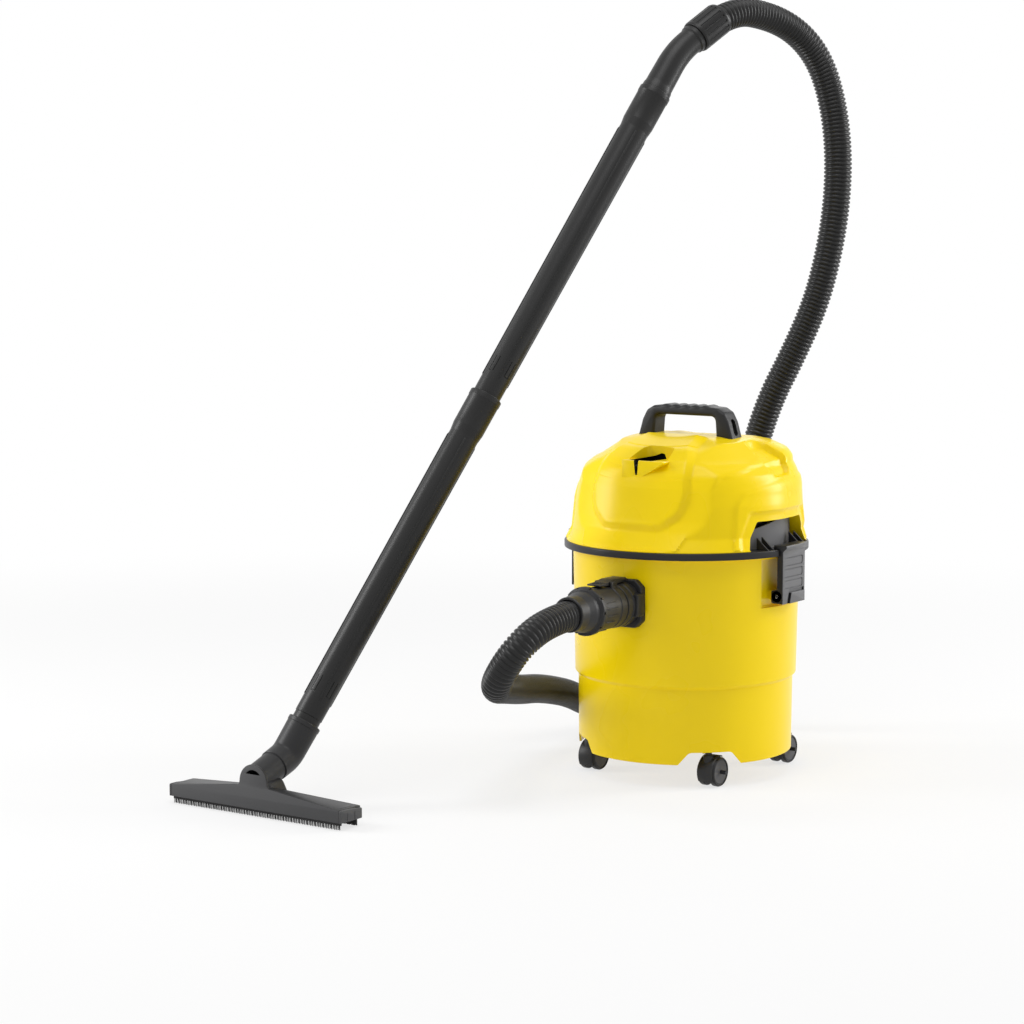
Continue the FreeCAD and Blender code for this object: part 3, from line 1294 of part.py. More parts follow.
def make_nozzle():
    back = NOZZLE_FRONT_Y + NOZZLE_DEPTH
    half = NOZZLE_LENGTH / 2 - END_CAP
    body = prism_y(gable(half, NOZZLE_LOW_Z, 0), NOZZLE_FRONT_Y, back).cut(rear_slope(0))
    inner = gable(half + 1, NOZZLE_LOW_Z - 1, NOZZLE_WALL)
    hollow = prism_y(inner, NOZZLE_FRONT_Y + NOZZLE_WALL, back - NOZZLE_WALL)
    hollow = hollow.cut(rear_slope(NOZZLE_WALL))
    pipe = rod(NECK_PIPE_START - NECK_PIPE_DIR * 20, NECK_PIPE_DIR, NECK_PIPE_R, NECK_PIPE_LENGTH + 20)
    pipe = pipe.cut(block(NOZZLE_X - 60, NOZZLE_X + 60, NOZZLE_FRONT_Y - 60, NOZZLE_FRONT_Y, 0, 120))
    neck_x, cheek_z = NECK_PIPE_START.x, NOZZLE_LOW_Z + 8
    plate_y = NOZZLE_FRONT_Y + HUMP_PLATE
    hump = rod(vec(neck_x, NOZZLE_FRONT_Y, HUMP_Z), vec(0, 1, 0), HUMP_R, HUMP_PLATE)
    cheek = block(neck_x - HUMP_R, neck_x + HUMP_R, NOZZLE_FRONT_Y, plate_y, cheek_z, HUMP_Z)
    left = [(neck_x - HUMP_R, cheek_z), (neck_x - NECK_PIPE_R, HUMP_Z)]
    right = [(neck_x + NECK_PIPE_R, HUMP_Z), (neck_x + HUMP_R, cheek_z)]
    hood = prism_y(left + right, NOZZLE_FRONT_Y, back - 6)
    body = joined([body, pipe, hump, cheek, hood])
    airway_start = NECK_PIPE_START + vec(0, NOZZLE_WALL + 0.6, 0.2)
    airway = rod(airway_start, NECK_PIPE_DIR, NECK_PIPE_BORE_R, NECK_PIPE_LENGTH + 1)
    drop_y = NOZZLE_FRONT_Y + NOZZLE_WALL + 2
    drop = block(neck_x - 12, neck_x + 12, drop_y, back - 9, NOZZLE_LOW_Z, HUMP_Z - 6)
    body = body.cut(hollow).cut(airway).cut(drop)
    keep("nozzle_housing", body)
    for side, name in ((-1, "nozzle_cap_left"), (1, "nozzle_cap_right")):
        cap = prism_y(gable(NOZZLE_LENGTH / 2, NOZZLE_LOW_Z, 0), NOZZLE_FRONT_Y, back).cut(rear_slope(0))
        x0 = NOZZLE_X + side * half
        x1 = NOZZLE_X + side * (half + END_CAP + 1)
        cap = cap.common(block(min(x0, x1), max(x0, x1), NOZZLE_FRONT_Y - 1, back + 1, 0, 60))
        keep(name, cap)
    front, rear = NOZZLE_FRONT_Y + NOZZLE_WALL, back - NOZZLE_WALL
    root_z = NOZZLE_LOW_Z + BRISTLE_ROOT
    x0, x1 = NOZZLE_X - BRISTLE_HALF, NOZZLE_X + BRISTLE_HALF
    keep("bristle_strip", block(x0, x1, front, front + BRISTLE_THICK, 0, root_z))
    x0, x1 = NOZZLE_X - LIP_HALF, NOZZLE_X + LIP_HALF
    keep("rubber_lip", block(x0, x1, rear - LIP_THICK, rear, 0, root_z))


# Castors


def wheel_form():
    """A castor wheel along X: rim and dished outer disc, x = 0 on its inner face."""
    bore = AXLE_R + AXLE_FIT
    disc = WHEEL_WIDTH - WHEEL_DISH
    wheel = turned(
        [
            (bore, 0),
            (WHEEL_R, 0),
            (WHEEL_R, WHEEL_WIDTH),
            (WHEEL_R - WHEEL_RIM, WHEEL_WIDTH),
            (WHEEL_R - WHEEL_RIM, disc),
            (bore, disc),
        ]
    )
    wheel.rotate(vec(0, 0, 0), vec(0, 1, 0), 90)
    return wheel


def hood_form():
    """The hooded frame between a castor's two wheels, with its stem at the origin."""
    axle_at = vec(0, CASTOR_TRAIL, WHEEL_R)
    half = HOOD_WEB / 2 + HOOD_GAP + WHEEL_WIDTH - 2.0
    drum = rod(axle_at - vec(half, 0, 0), vec(1, 0, 0), HOOD_R + HOOD_SHELL, 2 * half)
    for side in (-1, 1):
        start = axle_at + vec(side * HOOD_WEB / 2, 0, 0)
        drum = drum.cut(rod(start, vec(side, 0, 0), HOOD_R - 0.6, 2 * half))
    low = WHEEL_R - 8.0
    drum = drum.cut(block(-40, 40, CASTOR_TRAIL + 6, CASTOR_TRAIL + 40, -5, 60))
    drum = drum.cut(block(-40, 40, -40, 40, -5, low - 3))
    web = rod(axle_at - vec(HOOD_WEB / 2, 0, 0), vec(1, 0, 0), 7.0, HOOD_WEB)
    boss = rod(vec(0, 0, WHEEL_R - 4), vec(0, 0, 1), STEM_BOSS_R, SOCKET_BOSS_LOW_Z - 0.6 - WHEEL_R + 4)
    for side in (-1, 1):
        start = axle_at + vec(side * HOOD_WEB / 2, 0, 0)
        boss = boss.cut(rod(start, vec(side, 0, 0), HOOD_R - 0.6, 2 * half))
    stem = rod(vec(0, 0, WHEEL_R + 6), vec(0, 0, 1), STEM_R, STEM_TOP_Z - WHEEL_R - 6)
    hood = joined([drum, web, boss, stem])
    hole = rod(axle_at - vec(20, 0, 0), vec(1, 0, 0), AXLE_R, 40)
    return hood.cut(hole)


def make_castors():
    hood = hood_form()
    wheel = wheel_form()
    reach = HOOD_WEB / 2 + HOOD_GAP
    axle = rod(vec(-reach - WHEEL_WIDTH + 1.5, 0, 0), vec(1, 0, 0), AXLE_R, 2 * (reach + WHEEL_WIDTH - 1.5))
    for name in castor_angles():
        place = castor_place(name)
        axle_at = place + vec(0, CASTOR_TRAIL, WHEEL_R)
        keep("castor_hood_" + name, hood.translated(place))
        keep("castor_axle_" + name, axle.translated(axle_at))
        keep("wheel_right_" + name, wheel.translated(axle_at + vec(reach, 0, 0)))
        keep("wheel_left_" + name, spun(wheel, 180).translated(axle_at - vec(reach, 0, 0)))


# Origin: the middle of the floor under everything but the hose

ORIGIN_X = ((NOZZLE_X - NOZZLE_LENGTH / 2) + (LATCH_FACE_X + LATCH_LIP)) / 2
ORIGIN_Y = (NOZZLE_FRONT_Y + RING_R) / 2


def build():
    make_tub()
    make_latches()
    make_head_base()
    cover_outer = make_head_cover()
    make_handle(cover_outer)
    make_drive()
    make_filter()
    make_switch()
    make_back_fittings()
    make_inlet()
    make_connector()
    make_lever()
    make_hose()
    make_cuff()
    make_wand()
    make_elbow()
    make_nozzle()
    make_castors()


def export():
    os.makedirs("parts", exist_ok=True)
    for name, shape in PARTS.items():
        moved = shape.copy()
        moved.translate(vec(-ORIGIN_X, -ORIGIN_Y, 0))
        moved.exportStep("parts/%s.step" % name)
    print(len(PARTS), "parts")


build()
export()
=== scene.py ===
# %% [markdown]
# # A drum vacuum cleaner for wet and dry dirt
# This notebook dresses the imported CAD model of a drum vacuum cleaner. A yellow tub stands on four
# castors. A black ring and a yellow motor head close it. A ribbed hose runs from the tub's front
# round the back, up over an arch and into a bent tube. Two plastic tubes lead down to a wide floor
# nozzle. Every piece is made where the CAD says, so nothing is fitted by eye later.

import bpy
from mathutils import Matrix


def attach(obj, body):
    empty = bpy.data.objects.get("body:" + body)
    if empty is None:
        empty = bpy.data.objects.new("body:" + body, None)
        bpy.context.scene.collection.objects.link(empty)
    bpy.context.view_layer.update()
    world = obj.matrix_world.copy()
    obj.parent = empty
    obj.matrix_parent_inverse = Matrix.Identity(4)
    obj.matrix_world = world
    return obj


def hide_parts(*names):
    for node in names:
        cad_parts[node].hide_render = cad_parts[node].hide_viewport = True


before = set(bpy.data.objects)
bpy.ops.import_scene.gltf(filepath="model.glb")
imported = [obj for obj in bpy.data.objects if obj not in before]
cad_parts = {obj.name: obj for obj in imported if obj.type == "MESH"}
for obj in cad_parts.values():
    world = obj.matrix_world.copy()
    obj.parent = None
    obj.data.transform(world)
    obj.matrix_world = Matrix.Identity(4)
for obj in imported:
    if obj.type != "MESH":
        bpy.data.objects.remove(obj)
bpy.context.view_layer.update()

# %% Units and the tub's own axes
import math
from bisect import bisect_right

import bmesh
import bpy
from mathutils import Matrix, Vector

MM = 0.001
ORIGIN = Vector((-118.75, -192.3, 0.0))
UP = Vector((0, 0, 1))
RIGHT = Vector((1, 0, 0))
BACK = Vector((0, 1, 0))
FRONT = -BACK


def row(point):
    """A point in millimetres from the tub's axis, as a point of the model in metres."""
    return (Vector(point) - ORIGIN) * MM


print("the tub's axis stands at", tuple(round(v, 4) for v in row((0, 0, 0))))

# %% [markdown]
# ## Tools of the bench
# Each piece starts as a circle or an outline that edit-mode operators extrude, scale and bridge.
# Everything is deselected first, because an operator acts on all that is selected. Pieces are
# modelled in millimetre sizes about the tub's axis and moved to their place at the end.

# %% Selecting one object at a time
MERGE_DISTANCE = 1e-6


def nothing_selected():
    if bpy.context.object and bpy.context.object.mode != "OBJECT":
        bpy.ops.object.mode_set(mode="OBJECT")
    bpy.ops.object.select_all(action="DESELECT")


def alone(obj):
    """Selects only obj and makes it active."""
    nothing_selected()
    obj.select_set(True)
    bpy.context.view_layer.objects.active = obj
    return obj


def place_applied(obj):
    alone(obj)
    bpy.ops.object.transform_apply(location=True, rotation=True, scale=True)
    return obj


def faces_out(obj):
    """Merges doubled points and turns every face outwards."""
    alone(obj)
    bpy.ops.object.mode_set(mode="EDIT")
    bpy.ops.mesh.select_all(action="SELECT")
    bpy.ops.mesh.remove_doubles(threshold=MERGE_DISTANCE)
    bpy.ops.mesh.normals_make_consistent(inside=False)
    bpy.ops.object.mode_set(mode="OBJECT")
    return obj


# %% Outlines with round corners
LONGEST_ROUNDING = 0.48


def filleted(corners, closed=False, steps=4):
    """Outline points with round corners. A corner is (x, y) or (x, y, radius)."""
    points, count = [], len(corners)
    for i, corner in enumerate(corners):
        here = Vector(corner[:2])
        if len(corner) < 3 or (not closed and i in (0, count - 1)):
            points.append(tuple(here))
            continue
        back = Vector(corners[i - 1][:2]) - here
        ahead = Vector(corners[(i + 1) % count][:2]) - here
        reach = corner[2] / math.tan(back.angle(ahead) / 2)
        reach = min(reach, LONGEST_ROUNDING * back.length, LONGEST_ROUNDING * ahead.length)
        start, end = here + back.normalized() * reach, here + ahead.normalized() * reach
        for k in range(steps + 1):
            t = k / steps
            points.append(tuple(start * (1 - t) ** 2 + here * 2 * t * (1 - t) + end * t * t))
    return points


def dense(points, step):
    """The same outline with more points, no further apart than step."""
    result = [points[0]]
    for a, b in zip(points, points[1:]):
        parts = max(1, math.ceil((Vector(b) - Vector(a)).length / step))
        result += [tuple(Vector(a).lerp(Vector(b), k / parts)) for k in range(1, parts + 1)]
    return result


# %% Turned pieces: a ring that is extruded and scaled along a profile
POLE_R = 0.01


def turned(name, profile, segments=96, closed=False):
    """Turns a (radius, height) profile about Z.

    A radius of 0 ends in a pole, and a closed profile joins its last ring to its first.
    """
    nothing_selected()
    radius, height = profile[0]
    radius = max(radius, POLE_R)
    bpy.ops.mesh.primitive_circle_add(
        vertices=segments, radius=radius * MM, location=(0, 0, height * MM)
    )
    obj = bpy.context.active_object
    obj.name = obj.data.name = name
    bpy.ops.object.mode_set(mode="EDIT")
    bpy.ops.mesh.select_mode(type="VERT")
    bpy.ops.mesh.select_all(action="SELECT")
    for next_radius, next_height in profile[1:]:
        step = (0, 0, (next_height - height) * MM)
        bpy.ops.mesh.extrude_region_move(TRANSFORM_OT_translate={"value": step})
        if next_radius <= 0:
            bpy.ops.mesh.merge(type="CENTER")
            break
        grow = next_radius / radius
        if abs(grow - 1) > 1e-9:
            bpy.ops.transform.resize(
                value=(grow, grow, 1), center_override=(0, 0, next_height * MM)
            )
        radius, height = next_radius, next_height
    if closed or profile[0][0] <= 0:
        bpy.ops.mesh.select_all(action="DESELECT")
        bpy.ops.mesh.select_non_manifold()
        if closed:
            bpy.ops.mesh.bridge_edge_loops()
        else:
            bpy.ops.mesh.merge(type="CENTER")
    bpy.ops.mesh.select_all(action="SELECT")
    bpy.ops.mesh.normals_make_consistent(inside=False)
    bpy.ops.object.mode_set(mode="OBJECT")
    return place_applied(obj)


# %% Prisms: an outline that is extruded


def prism(name, corners, shift):
    """An outline of (x, y, z) corners in millimetres, extruded by shift."""
    nothing_selected()
    bpy.ops.mesh.primitive_circle_add(vertices=len(corners), radius=MM, fill_type="NGON")
    obj = bpy.context.active_object
    obj.name = obj.data.name = name
    for vertex, corner in zip(obj.data.vertices, corners):
        vertex.co = Vector(corner) * MM
    bpy.ops.object.mode_set(mode="EDIT")
    bpy.ops.mesh.select_all(action="SELECT")
    bpy.ops.mesh.extrude_region_move(TRANSFORM_OT_translate={"value": tuple(Vector(shift) * MM)})
    bpy.ops.mesh.select_all(action="SELECT")
    bpy.ops.mesh.normals_make_consistent(inside=False)
    bpy.ops.object.mode_set(mode="OBJECT")
    return obj


def prism_x(name, outline, x0, x1):
    return prism(name, [(x0, y, z) for y, z in outline], (x1 - x0, 0, 0))


def prism_y(name, outline, y0, y1):
    return prism(name, [(x, y0, z) for x, z in outline], (0, y1 - y0, 0))


def prism_z(name, outline, z0, z1):
    return prism(name, [(x, y, z0) for x, y in outline], (0, 0, z1 - z0))


def slab(name, x0, x1, y0, y1, z0, z1):
    return prism_z(name, [(x0, y0), (x1, y0), (x1, y1), (x0, y1)], z0, z1)


# %% Placing and copying


def aimed(obj, start, toward):
    """Moves a piece drawn along Z so that it starts at start and points along toward."""
    turn = UP.rotation_difference(Vector(toward).normalized()).to_matrix().to_4x4()
    obj.matrix_world = Matrix.Translation(Vector(start) * MM) @ turn
    return place_applied(obj)


def rod(name, start, toward, radius, length, segments=48):
    obj = turned(name, [(0, 0), (radius, 0), (radius, length), (0, length)], segments)
    return aimed(obj, start, toward)


def swivelled(obj, degrees, centre=(0, 0, 0), axis="Z"):
    """Turns a piece about an axis through centre and applies the turn."""
    spot = Matrix.Translation(Vector(centre) * MM)
    obj.matrix_world = spot @ Matrix.Rotation(math.radians(degrees), 4, axis) @ spot.inverted()
    return place_applied(obj)


def moved(obj, shift):
    obj.location = Vector(shift) * MM
    return place_applied(obj)


def twin(obj, name):
    """A copy with its own mesh."""
    copy = obj.copy()
    copy.data = obj.data.copy()
    copy.name = copy.data.name = name
    bpy.context.collection.objects.link(copy)
    return copy


def mirrored(obj):
    """Mirrors a piece from one side of the tub to the other."""
    obj.scale = (-1, 1, 1)
    place_applied(obj)
    return faces_out(obj)


def both_sides(obj):
    """A piece and its mirror image."""
    return [obj, mirrored(twin(obj, obj.name + "_left"))]


# %% Cutting, joining and softening


def joined(pieces):
    """Puts several meshes into one piece without fusing them."""
    nothing_selected()
    for piece in pieces:
        piece.select_set(True)
    bpy.context.view_layer.objects.active = pieces[0]
    bpy.ops.object.join()
    return pieces[0]


def boolean(obj, tools, operation):
    """Cuts or fuses obj with the tools, which are used up."""
    tool = joined(list(tools))
    alone(obj)
    modifier = obj.modifiers.new("Boolean", "BOOLEAN")
    modifier.object = tool
    modifier.operation = operation
    modifier.solver = "EXACT"
    bpy.ops.object.modifier_apply(modifier=modifier.name)
    bpy.data.objects.remove(tool, do_unlink=True)
    return obj


def cut(obj, *tools):
    return boolean(obj, tools, "DIFFERENCE")


def fused(obj, *tools):
    return boolean(obj, tools, "UNION")


def softened(obj, width, segments=2, angle=35):
    """Rounds the sharp edges of a piece, as a mould does."""
    alone(obj)
    modifier = obj.modifiers.new("Bevel", "BEVEL")
    modifier.width = width * MM
    modifier.segments = segments
    modifier.limit_method = "ANGLE"
    modifier.angle_limit = math.radians(angle)
    bpy.ops.object.modifier_apply(modifier=modifier.name)
    return obj


# %% Handing a finished piece to its body
SMOOTH_BELOW = 32
FITTING_SMOOTH_BELOW = 38


def second_finish(obj, finish, chosen):
    """Gives a second finish to the faces whose (centre, normal) in tub millimetres is chosen."""
    obj.data.materials.append(finish)
    for face in obj.data.polygons:
        if chosen(face.center / MM + ORIGIN, face.normal):
            face.material_index = len(obj.data.materials) - 1


def finished(obj, body, finish, nodes=(), angle=SMOOTH_BELOW):
    """Moves a piece from the tub's axes to the model's, gives it its finish and its body.

    Edges that turn by less than angle degrees are shaded smooth.
    """
    alone(obj)
    bpy.ops.object.shade_smooth_by_angle(angle=math.radians(angle))
    obj.location = -ORIGIN * MM
    place_applied(obj)
    obj.data.materials.clear()
    obj.data.materials.append(finish)
    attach(obj, body)
    if nodes:
        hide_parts(*nodes)
    spans = [[v.co[i] for v in obj.data.vertices] for i in range(3)]
    size = [round((max(span) - min(span)) / MM, 1) for span in spans]
    print(obj.name, len(obj.data.polygons), "faces", size)
    return obj


# %% [markdown]
# ## Finishes
# Moulded plastic is never one flat colour. Its skin has a fine grain from the mould, its gloss
# changes a little from place to place, and so does its shade. The effect is a node group that is
# built once and used by every plastic with its own values.

# %% The grain of a mould, as a node group
GRAIN_SCALE, GRAIN_DETAIL, GRAIN_HEIGHT = 900.0, 3, 0.0004
CLOUD_SCALE, CLOUD_DETAIL, GLOSS_CHANGE = 14, 2, 0.08


def group_with(name, inputs, outputs):
    group = bpy.data.node_groups.new(name, "ShaderNodeTree")
    for label, kind, value in inputs:
        socket = group.interface.new_socket(name=label, in_out="INPUT", socket_type=kind)
        socket.default_value = value
    for label, kind in outputs:
        group.interface.new_socket(name=label, in_out="OUTPUT", socket_type=kind)
    return group, group.nodes.new("NodeGroupInput"), group.nodes.new("NodeGroupOutput")


def noise_in(group, coords, scale, detail):
    noise = group.nodes.new("ShaderNodeTexNoise")
    noise.inputs["Scale"].default_value = scale
    noise.inputs["Detail"].default_value = detail
    group.links.new(coords.outputs["Object"], noise.inputs["Vector"])
    return noise


def maths_in(group, operation, first, second=None, third=None):
    node = group.nodes.new("ShaderNodeMath")
    node.operation = operation
    for socket, value in zip(node.inputs, (first, second, third)):
        if value is None:
            continue
        if isinstance(value, (int, float)):
            socket.default_value = value
        else:
            group.links.new(value, socket)
    return node.outputs[0]


def moulded_skin_group():
    """Fine grain in the surface, and slow changes of gloss and shade."""
    group, given, result = group_with(
        "moulded skin",
        [
            ("Colour", "NodeSocketColor", (0.5, 0.5, 0.5, 1)),
            ("Shade change", "NodeSocketFloat", 0.04),
            ("Grain size", "NodeSocketFloat", GRAIN_SCALE),
            ("Grain depth", "NodeSocketFloat", 0.05),
            ("Roughness", "NodeSocketFloat", 0.4),
            ("Roughness change", "NodeSocketFloat", GLOSS_CHANGE),
        ],
        [
            ("Colour", "NodeSocketColor"),
            ("Roughness", "NodeSocketFloat"),
            ("Normal", "NodeSocketVector"),
        ],
    )
    links = group.links
    coords = group.nodes.new("ShaderNodeTexCoord")
    grain = noise_in(group, coords, GRAIN_SCALE, GRAIN_DETAIL)
    links.new(given.outputs["Grain size"], grain.inputs["Scale"])
    bump = group.nodes.new("ShaderNodeBump")
    bump.inputs["Distance"].default_value = GRAIN_HEIGHT
    links.new(given.outputs["Grain depth"], bump.inputs["Strength"])
    links.new(grain.outputs["Fac"], bump.inputs["Height"])
    links.new(bump.outputs["Normal"], result.inputs["Normal"])
    cloud = noise_in(group, coords, CLOUD_SCALE, CLOUD_DETAIL)
    centred = maths_in(group, "SUBTRACT", cloud.outputs["Fac"], 0.5)
    values = given.outputs
    gloss = maths_in(
        group, "MULTIPLY_ADD", centred, values["Roughness change"], values["Roughness"]
    )
    links.new(gloss, result.inputs["Roughness"])
    shade = maths_in(group, "MULTIPLY_ADD", centred, values["Shade change"], 1.0)
    tint = group.nodes.new("ShaderNodeVectorMath")
    tint.operation = "SCALE"
    links.new(given.outputs["Colour"], tint.inputs[0])
    links.new(shade, tint.inputs["Scale"])
    links.new(tint.outputs[0], result.inputs["Colour"])
    return group


MOULDED_SKIN = moulded_skin_group()
print("node group", MOULDED_SKIN.name)

# %% Plastics, rubber and steel made with it


def finish_of(
    name, colour, roughness, grain=GRAIN_SCALE, depth=0.05, shade=0.04, metallic=0.0, shine=0.28
):
    """A material with the moulded skin. The shine is its level of plain reflection."""
    material = bpy.data.materials.new(name)
    material.use_nodes = True
    nodes, links = material.node_tree.nodes, material.node_tree.links
    shader = nodes["Principled BSDF"]
    skin = nodes.new("ShaderNodeGroup")
    skin.node_tree = MOULDED_SKIN
    skin.inputs["Colour"].default_value = (*colour, 1)
    skin.inputs["Shade change"].default_value = shade
    skin.inputs["Grain size"].default_value = grain
    skin.inputs["Grain depth"].default_value = depth
    skin.inputs["Roughness"].default_value = roughness
    skin.inputs["Roughness change"].default_value = GLOSS_CHANGE
    links.new(skin.outputs["Colour"], shader.inputs["Base Color"])
    links.new(skin.outputs["Roughness"], shader.inputs["Roughness"])
    links.new(skin.outputs["Normal"], shader.inputs["Normal"])
    shader.inputs["Metallic"].default_value = metallic
    shader.inputs["Specular IOR Level"].default_value = shine
    return material


YELLOW = finish_of(
    "bright yellow moulded plastic", (0.98, 0.71, 0.0), 0.28, grain=700, depth=0.02, shade=0.02,
    shine=0.24
)
RING_BLACK = finish_of(
    "satin black ring plastic", (0.014, 0.014, 0.015), 0.36, grain=1500, depth=0.05
)
FITTING_BLACK = finish_of(
    "grained black fitting plastic", (0.020, 0.020, 0.021), 0.42, grain=1600, depth=0.12
)
TUBE_BLACK = finish_of(
    "satin black tube plastic", (0.012, 0.012, 0.012), 0.38, grain=1200, depth=0.06
)
HOSE_BLACK = finish_of("ribbed hose black", (0.010, 0.010, 0.010), 0.34, grain=1200, depth=0.04)
HANDLE_BLACK = finish_of(
    "grained black handle plastic", (0.013, 0.013, 0.0135), 0.42, grain=1800, depth=0.15
)
LATCH_GREY = finish_of("dark grey latch plastic", (0.15, 0.15, 0.154), 0.42, grain=1400, depth=0.10)
WALL_GREY = finish_of("grey inner wall plastic", (0.12, 0.12, 0.125), 0.42, grain=1200, depth=0.06)
WHEEL_GREY = finish_of("grey wheel plastic", (0.085, 0.085, 0.09), 0.48, grain=1200, depth=0.10)
NOZZLE_GREY = finish_of(
    "grained dark nozzle plastic", (0.060, 0.060, 0.062), 0.50, grain=1500, depth=0.22
)
RUBBER = finish_of("soft black rubber", (0.022, 0.022, 0.022), 0.7, grain=900, depth=0.10)
STEEL = finish_of("plain steel", (0.55, 0.55, 0.56), 0.35, grain=1600, depth=0.05, metallic=1.0)
ALLOY = finish_of(
    "pressed aluminium", (0.75, 0.75, 0.77), 0.32, grain=1600, depth=0.05, metallic=1.0
)
FOAM = finish_of("open-cell foam", (0.045, 0.045, 0.05), 0.95, grain=420, depth=0.9)
BRISTLE = finish_of(
    "stiff black bristle", (0.014, 0.014, 0.014), 0.55, grain=500, depth=0.3, shade=0.5
)
FLOAT_WHITE = finish_of("white float plastic", (0.75, 0.75, 0.74), 0.45)
print(len(bpy.data.materials), "materials")

# %% [markdown]
# ## Camera
# The camera stands where the photographer's did. It looks a little down at the cleaner, from the
# side of the front where the wand leans, through a long lens.

# %% The camera
CAMERA_AT = (1779.5, -2929.1, 721.4)
CAMERA_HEADING = 35.0
CAMERA_DIP = 6.53
SENSOR_WIDTH = 36.0
FOCAL_PIXELS, PICTURE_PIXELS = 2700, 1024
FARTHEST_SEEN = 90

camera = bpy.data.cameras.new("camera")
camera.lens = SENSOR_WIDTH * FOCAL_PIXELS / PICTURE_PIXELS
camera.sensor_width = SENSOR_WIDTH
camera.clip_end = FARTHEST_SEEN
camera_object = bpy.data.objects.new("camera", camera)
camera_object.location = row(CAMERA_AT)
camera_object.rotation_euler = (math.radians(90 - CAMERA_DIP), 0, math.radians(CAMERA_HEADING))
bpy.context.collection.objects.link(camera_object)
bpy.context.scene.camera = camera_object
print("camera at", tuple(round(v, 3) for v in camera_object.location))

# %% [markdown]
# ## Floor and light
# A product picture stands on white with a soft shadow. The floor is a wide white disc. Most of
# what the camera sees of it is plain white, so that it has no horizon, and the rest is lit as the
# object is, so that the shadows stay. The world's own light is soft and even.

# %% The floor
WORLD_LIGHT = 0.40
SHADOW_SHARE = 0.3
FLOOR_RADIUS, FLOOR_DROP = 40.0, 0.0006
FADE_START, FADE_END = 1.1, 2.4

nothing_selected()
bpy.ops.mesh.primitive_circle_add(
    vertices=96, radius=FLOOR_RADIUS, fill_type="NGON", location=(0, 0, -FLOOR_DROP)
)
floor = bpy.context.active_object
floor.name = "floor"


def seen_directly(tree):
    """1 for the camera's rays and for those that metal or glass sends on, and 0 for light."""
    path = tree.nodes.new("ShaderNodeLightPath")
    both = maths_in(tree, "MAXIMUM", path.outputs["Is Camera Ray"], path.outputs["Is Glossy Ray"])
    return maths_in(tree, "MAXIMUM", both, path.outputs["Is Transmission Ray"])


def white_floor():
    """White to the eye, with the shadows near the object kept and no edge far away."""
    material = bpy.data.materials.new("white floor")
    material.use_nodes = True
    tree = material.node_tree
    shader = tree.nodes["Principled BSDF"]
    shader.inputs["Base Color"].default_value = (0.86, 0.86, 0.86, 1)
    shader.inputs["Roughness"].default_value = 0.9
    shader.inputs["Specular IOR Level"].default_value = 0.0
    plain = tree.nodes.new("ShaderNodeEmission")
    coords = tree.nodes.new("ShaderNodeTexCoord")
    distance = tree.nodes.new("ShaderNodeVectorMath")
    distance.operation = "LENGTH"
    tree.links.new(coords.outputs["Object"], distance.inputs[0])
    fade = tree.nodes.new("ShaderNodeMapRange")
    fade.interpolation_type = "SMOOTHSTEP"
    fade.inputs["From Min"].default_value = FADE_START
    fade.inputs["From Max"].default_value = FADE_END
    fade.inputs["To Min"].default_value = 1.0 - SHADOW_SHARE
    fade.inputs["To Max"].default_value = 1.0
    tree.links.new(distance.outputs["Value"], fade.inputs["Value"])
    share = maths_in(tree, "MULTIPLY", seen_directly(tree), fade.outputs["Result"])
    mix = tree.nodes.new("ShaderNodeMixShader")
    tree.links.new(share, mix.inputs["Fac"])
    tree.links.new(shader.outputs[0], mix.inputs[1])
    tree.links.new(plain.outputs[0], mix.inputs[2])
    tree.links.new(mix.outputs[0], tree.nodes["Material Output"].inputs["Surface"])
    return material


floor.data.materials.append(white_floor())


def studio_world():
    """Even soft light, and plain white where the camera or a reflection looks past the floor."""
    world = bpy.data.worlds.new("studio")
    bpy.context.scene.world = world
    world.use_nodes = True
    background = world.node_tree.nodes["Background"]
    background.inputs["Color"].default_value = (1, 1, 1, 1)
    tree = world.node_tree
    strength = maths_in(tree, "MULTIPLY_ADD", seen_directly(tree), 1.0 - WORLD_LIGHT, WORLD_LIGHT)
    tree.links.new(strength, background.inputs["Strength"])


studio_world()
bpy.context.scene.view_settings.view_transform = "Standard"
print("floor", floor.name, "and world", bpy.context.scene.world.name)

# %% The lamps


def soft_lamp(name, at, look_at, size, watts):
    lamp = bpy.data.lights.new(name, "AREA")
    lamp.shape = "RECTANGLE"
    lamp.size, lamp.size_y = size
    lamp.energy = watts
    obj = bpy.data.objects.new(name, lamp)
    obj.location = at
    obj.rotation_euler = (Vector(look_at) - Vector(at)).to_track_quat("-Z", "Y").to_euler()
    bpy.context.collection.objects.link(obj)


soft_lamp("left soft lamp", (-2.1, -1.5, 1.3), (0.1, 0.15, 0.3), (0.8, 1.9), 48)
soft_lamp("right soft lamp", (2.0, 2.0, 1.3), (0.1, 0.2, 0.3), (0.8, 1.8), 46)
soft_lamp("top soft lamp", (0.5, -0.7, 2.9), (0.1, 0.1, 0.3), (1.6, 1.6), 28)
soft_lamp("back soft lamp", (-0.8, 2.6, 1.9), (0.1, 0.1, 0.4), (1.4, 1.2), 8)

# %% [markdown]
# ## Suction hose
# The hose is one flexible ribbed tube. It leaves the tub's connector, bends down and back, goes
# round the tub near the floor, rises behind the head and arches over into the cuff of the wand. Its
# centreline is one NURBS curve through the air, and its skin is rings set along that curve: each
# rib is a ring that swells and shrinks, every five and a half millimetres.

# %% Directions of the wand and the cuff
WAND_PLAN = math.radians(66.8)
WAND_RISE = math.radians(56.3)
BEND_TURN = math.radians(22.0)


def direction(plan, rise):
    """A direction from its angle in plan and its rise above the floor."""
    level = math.cos(rise)
    return Vector((math.cos(plan) * level, math.sin(plan) * level, math.sin(rise)))


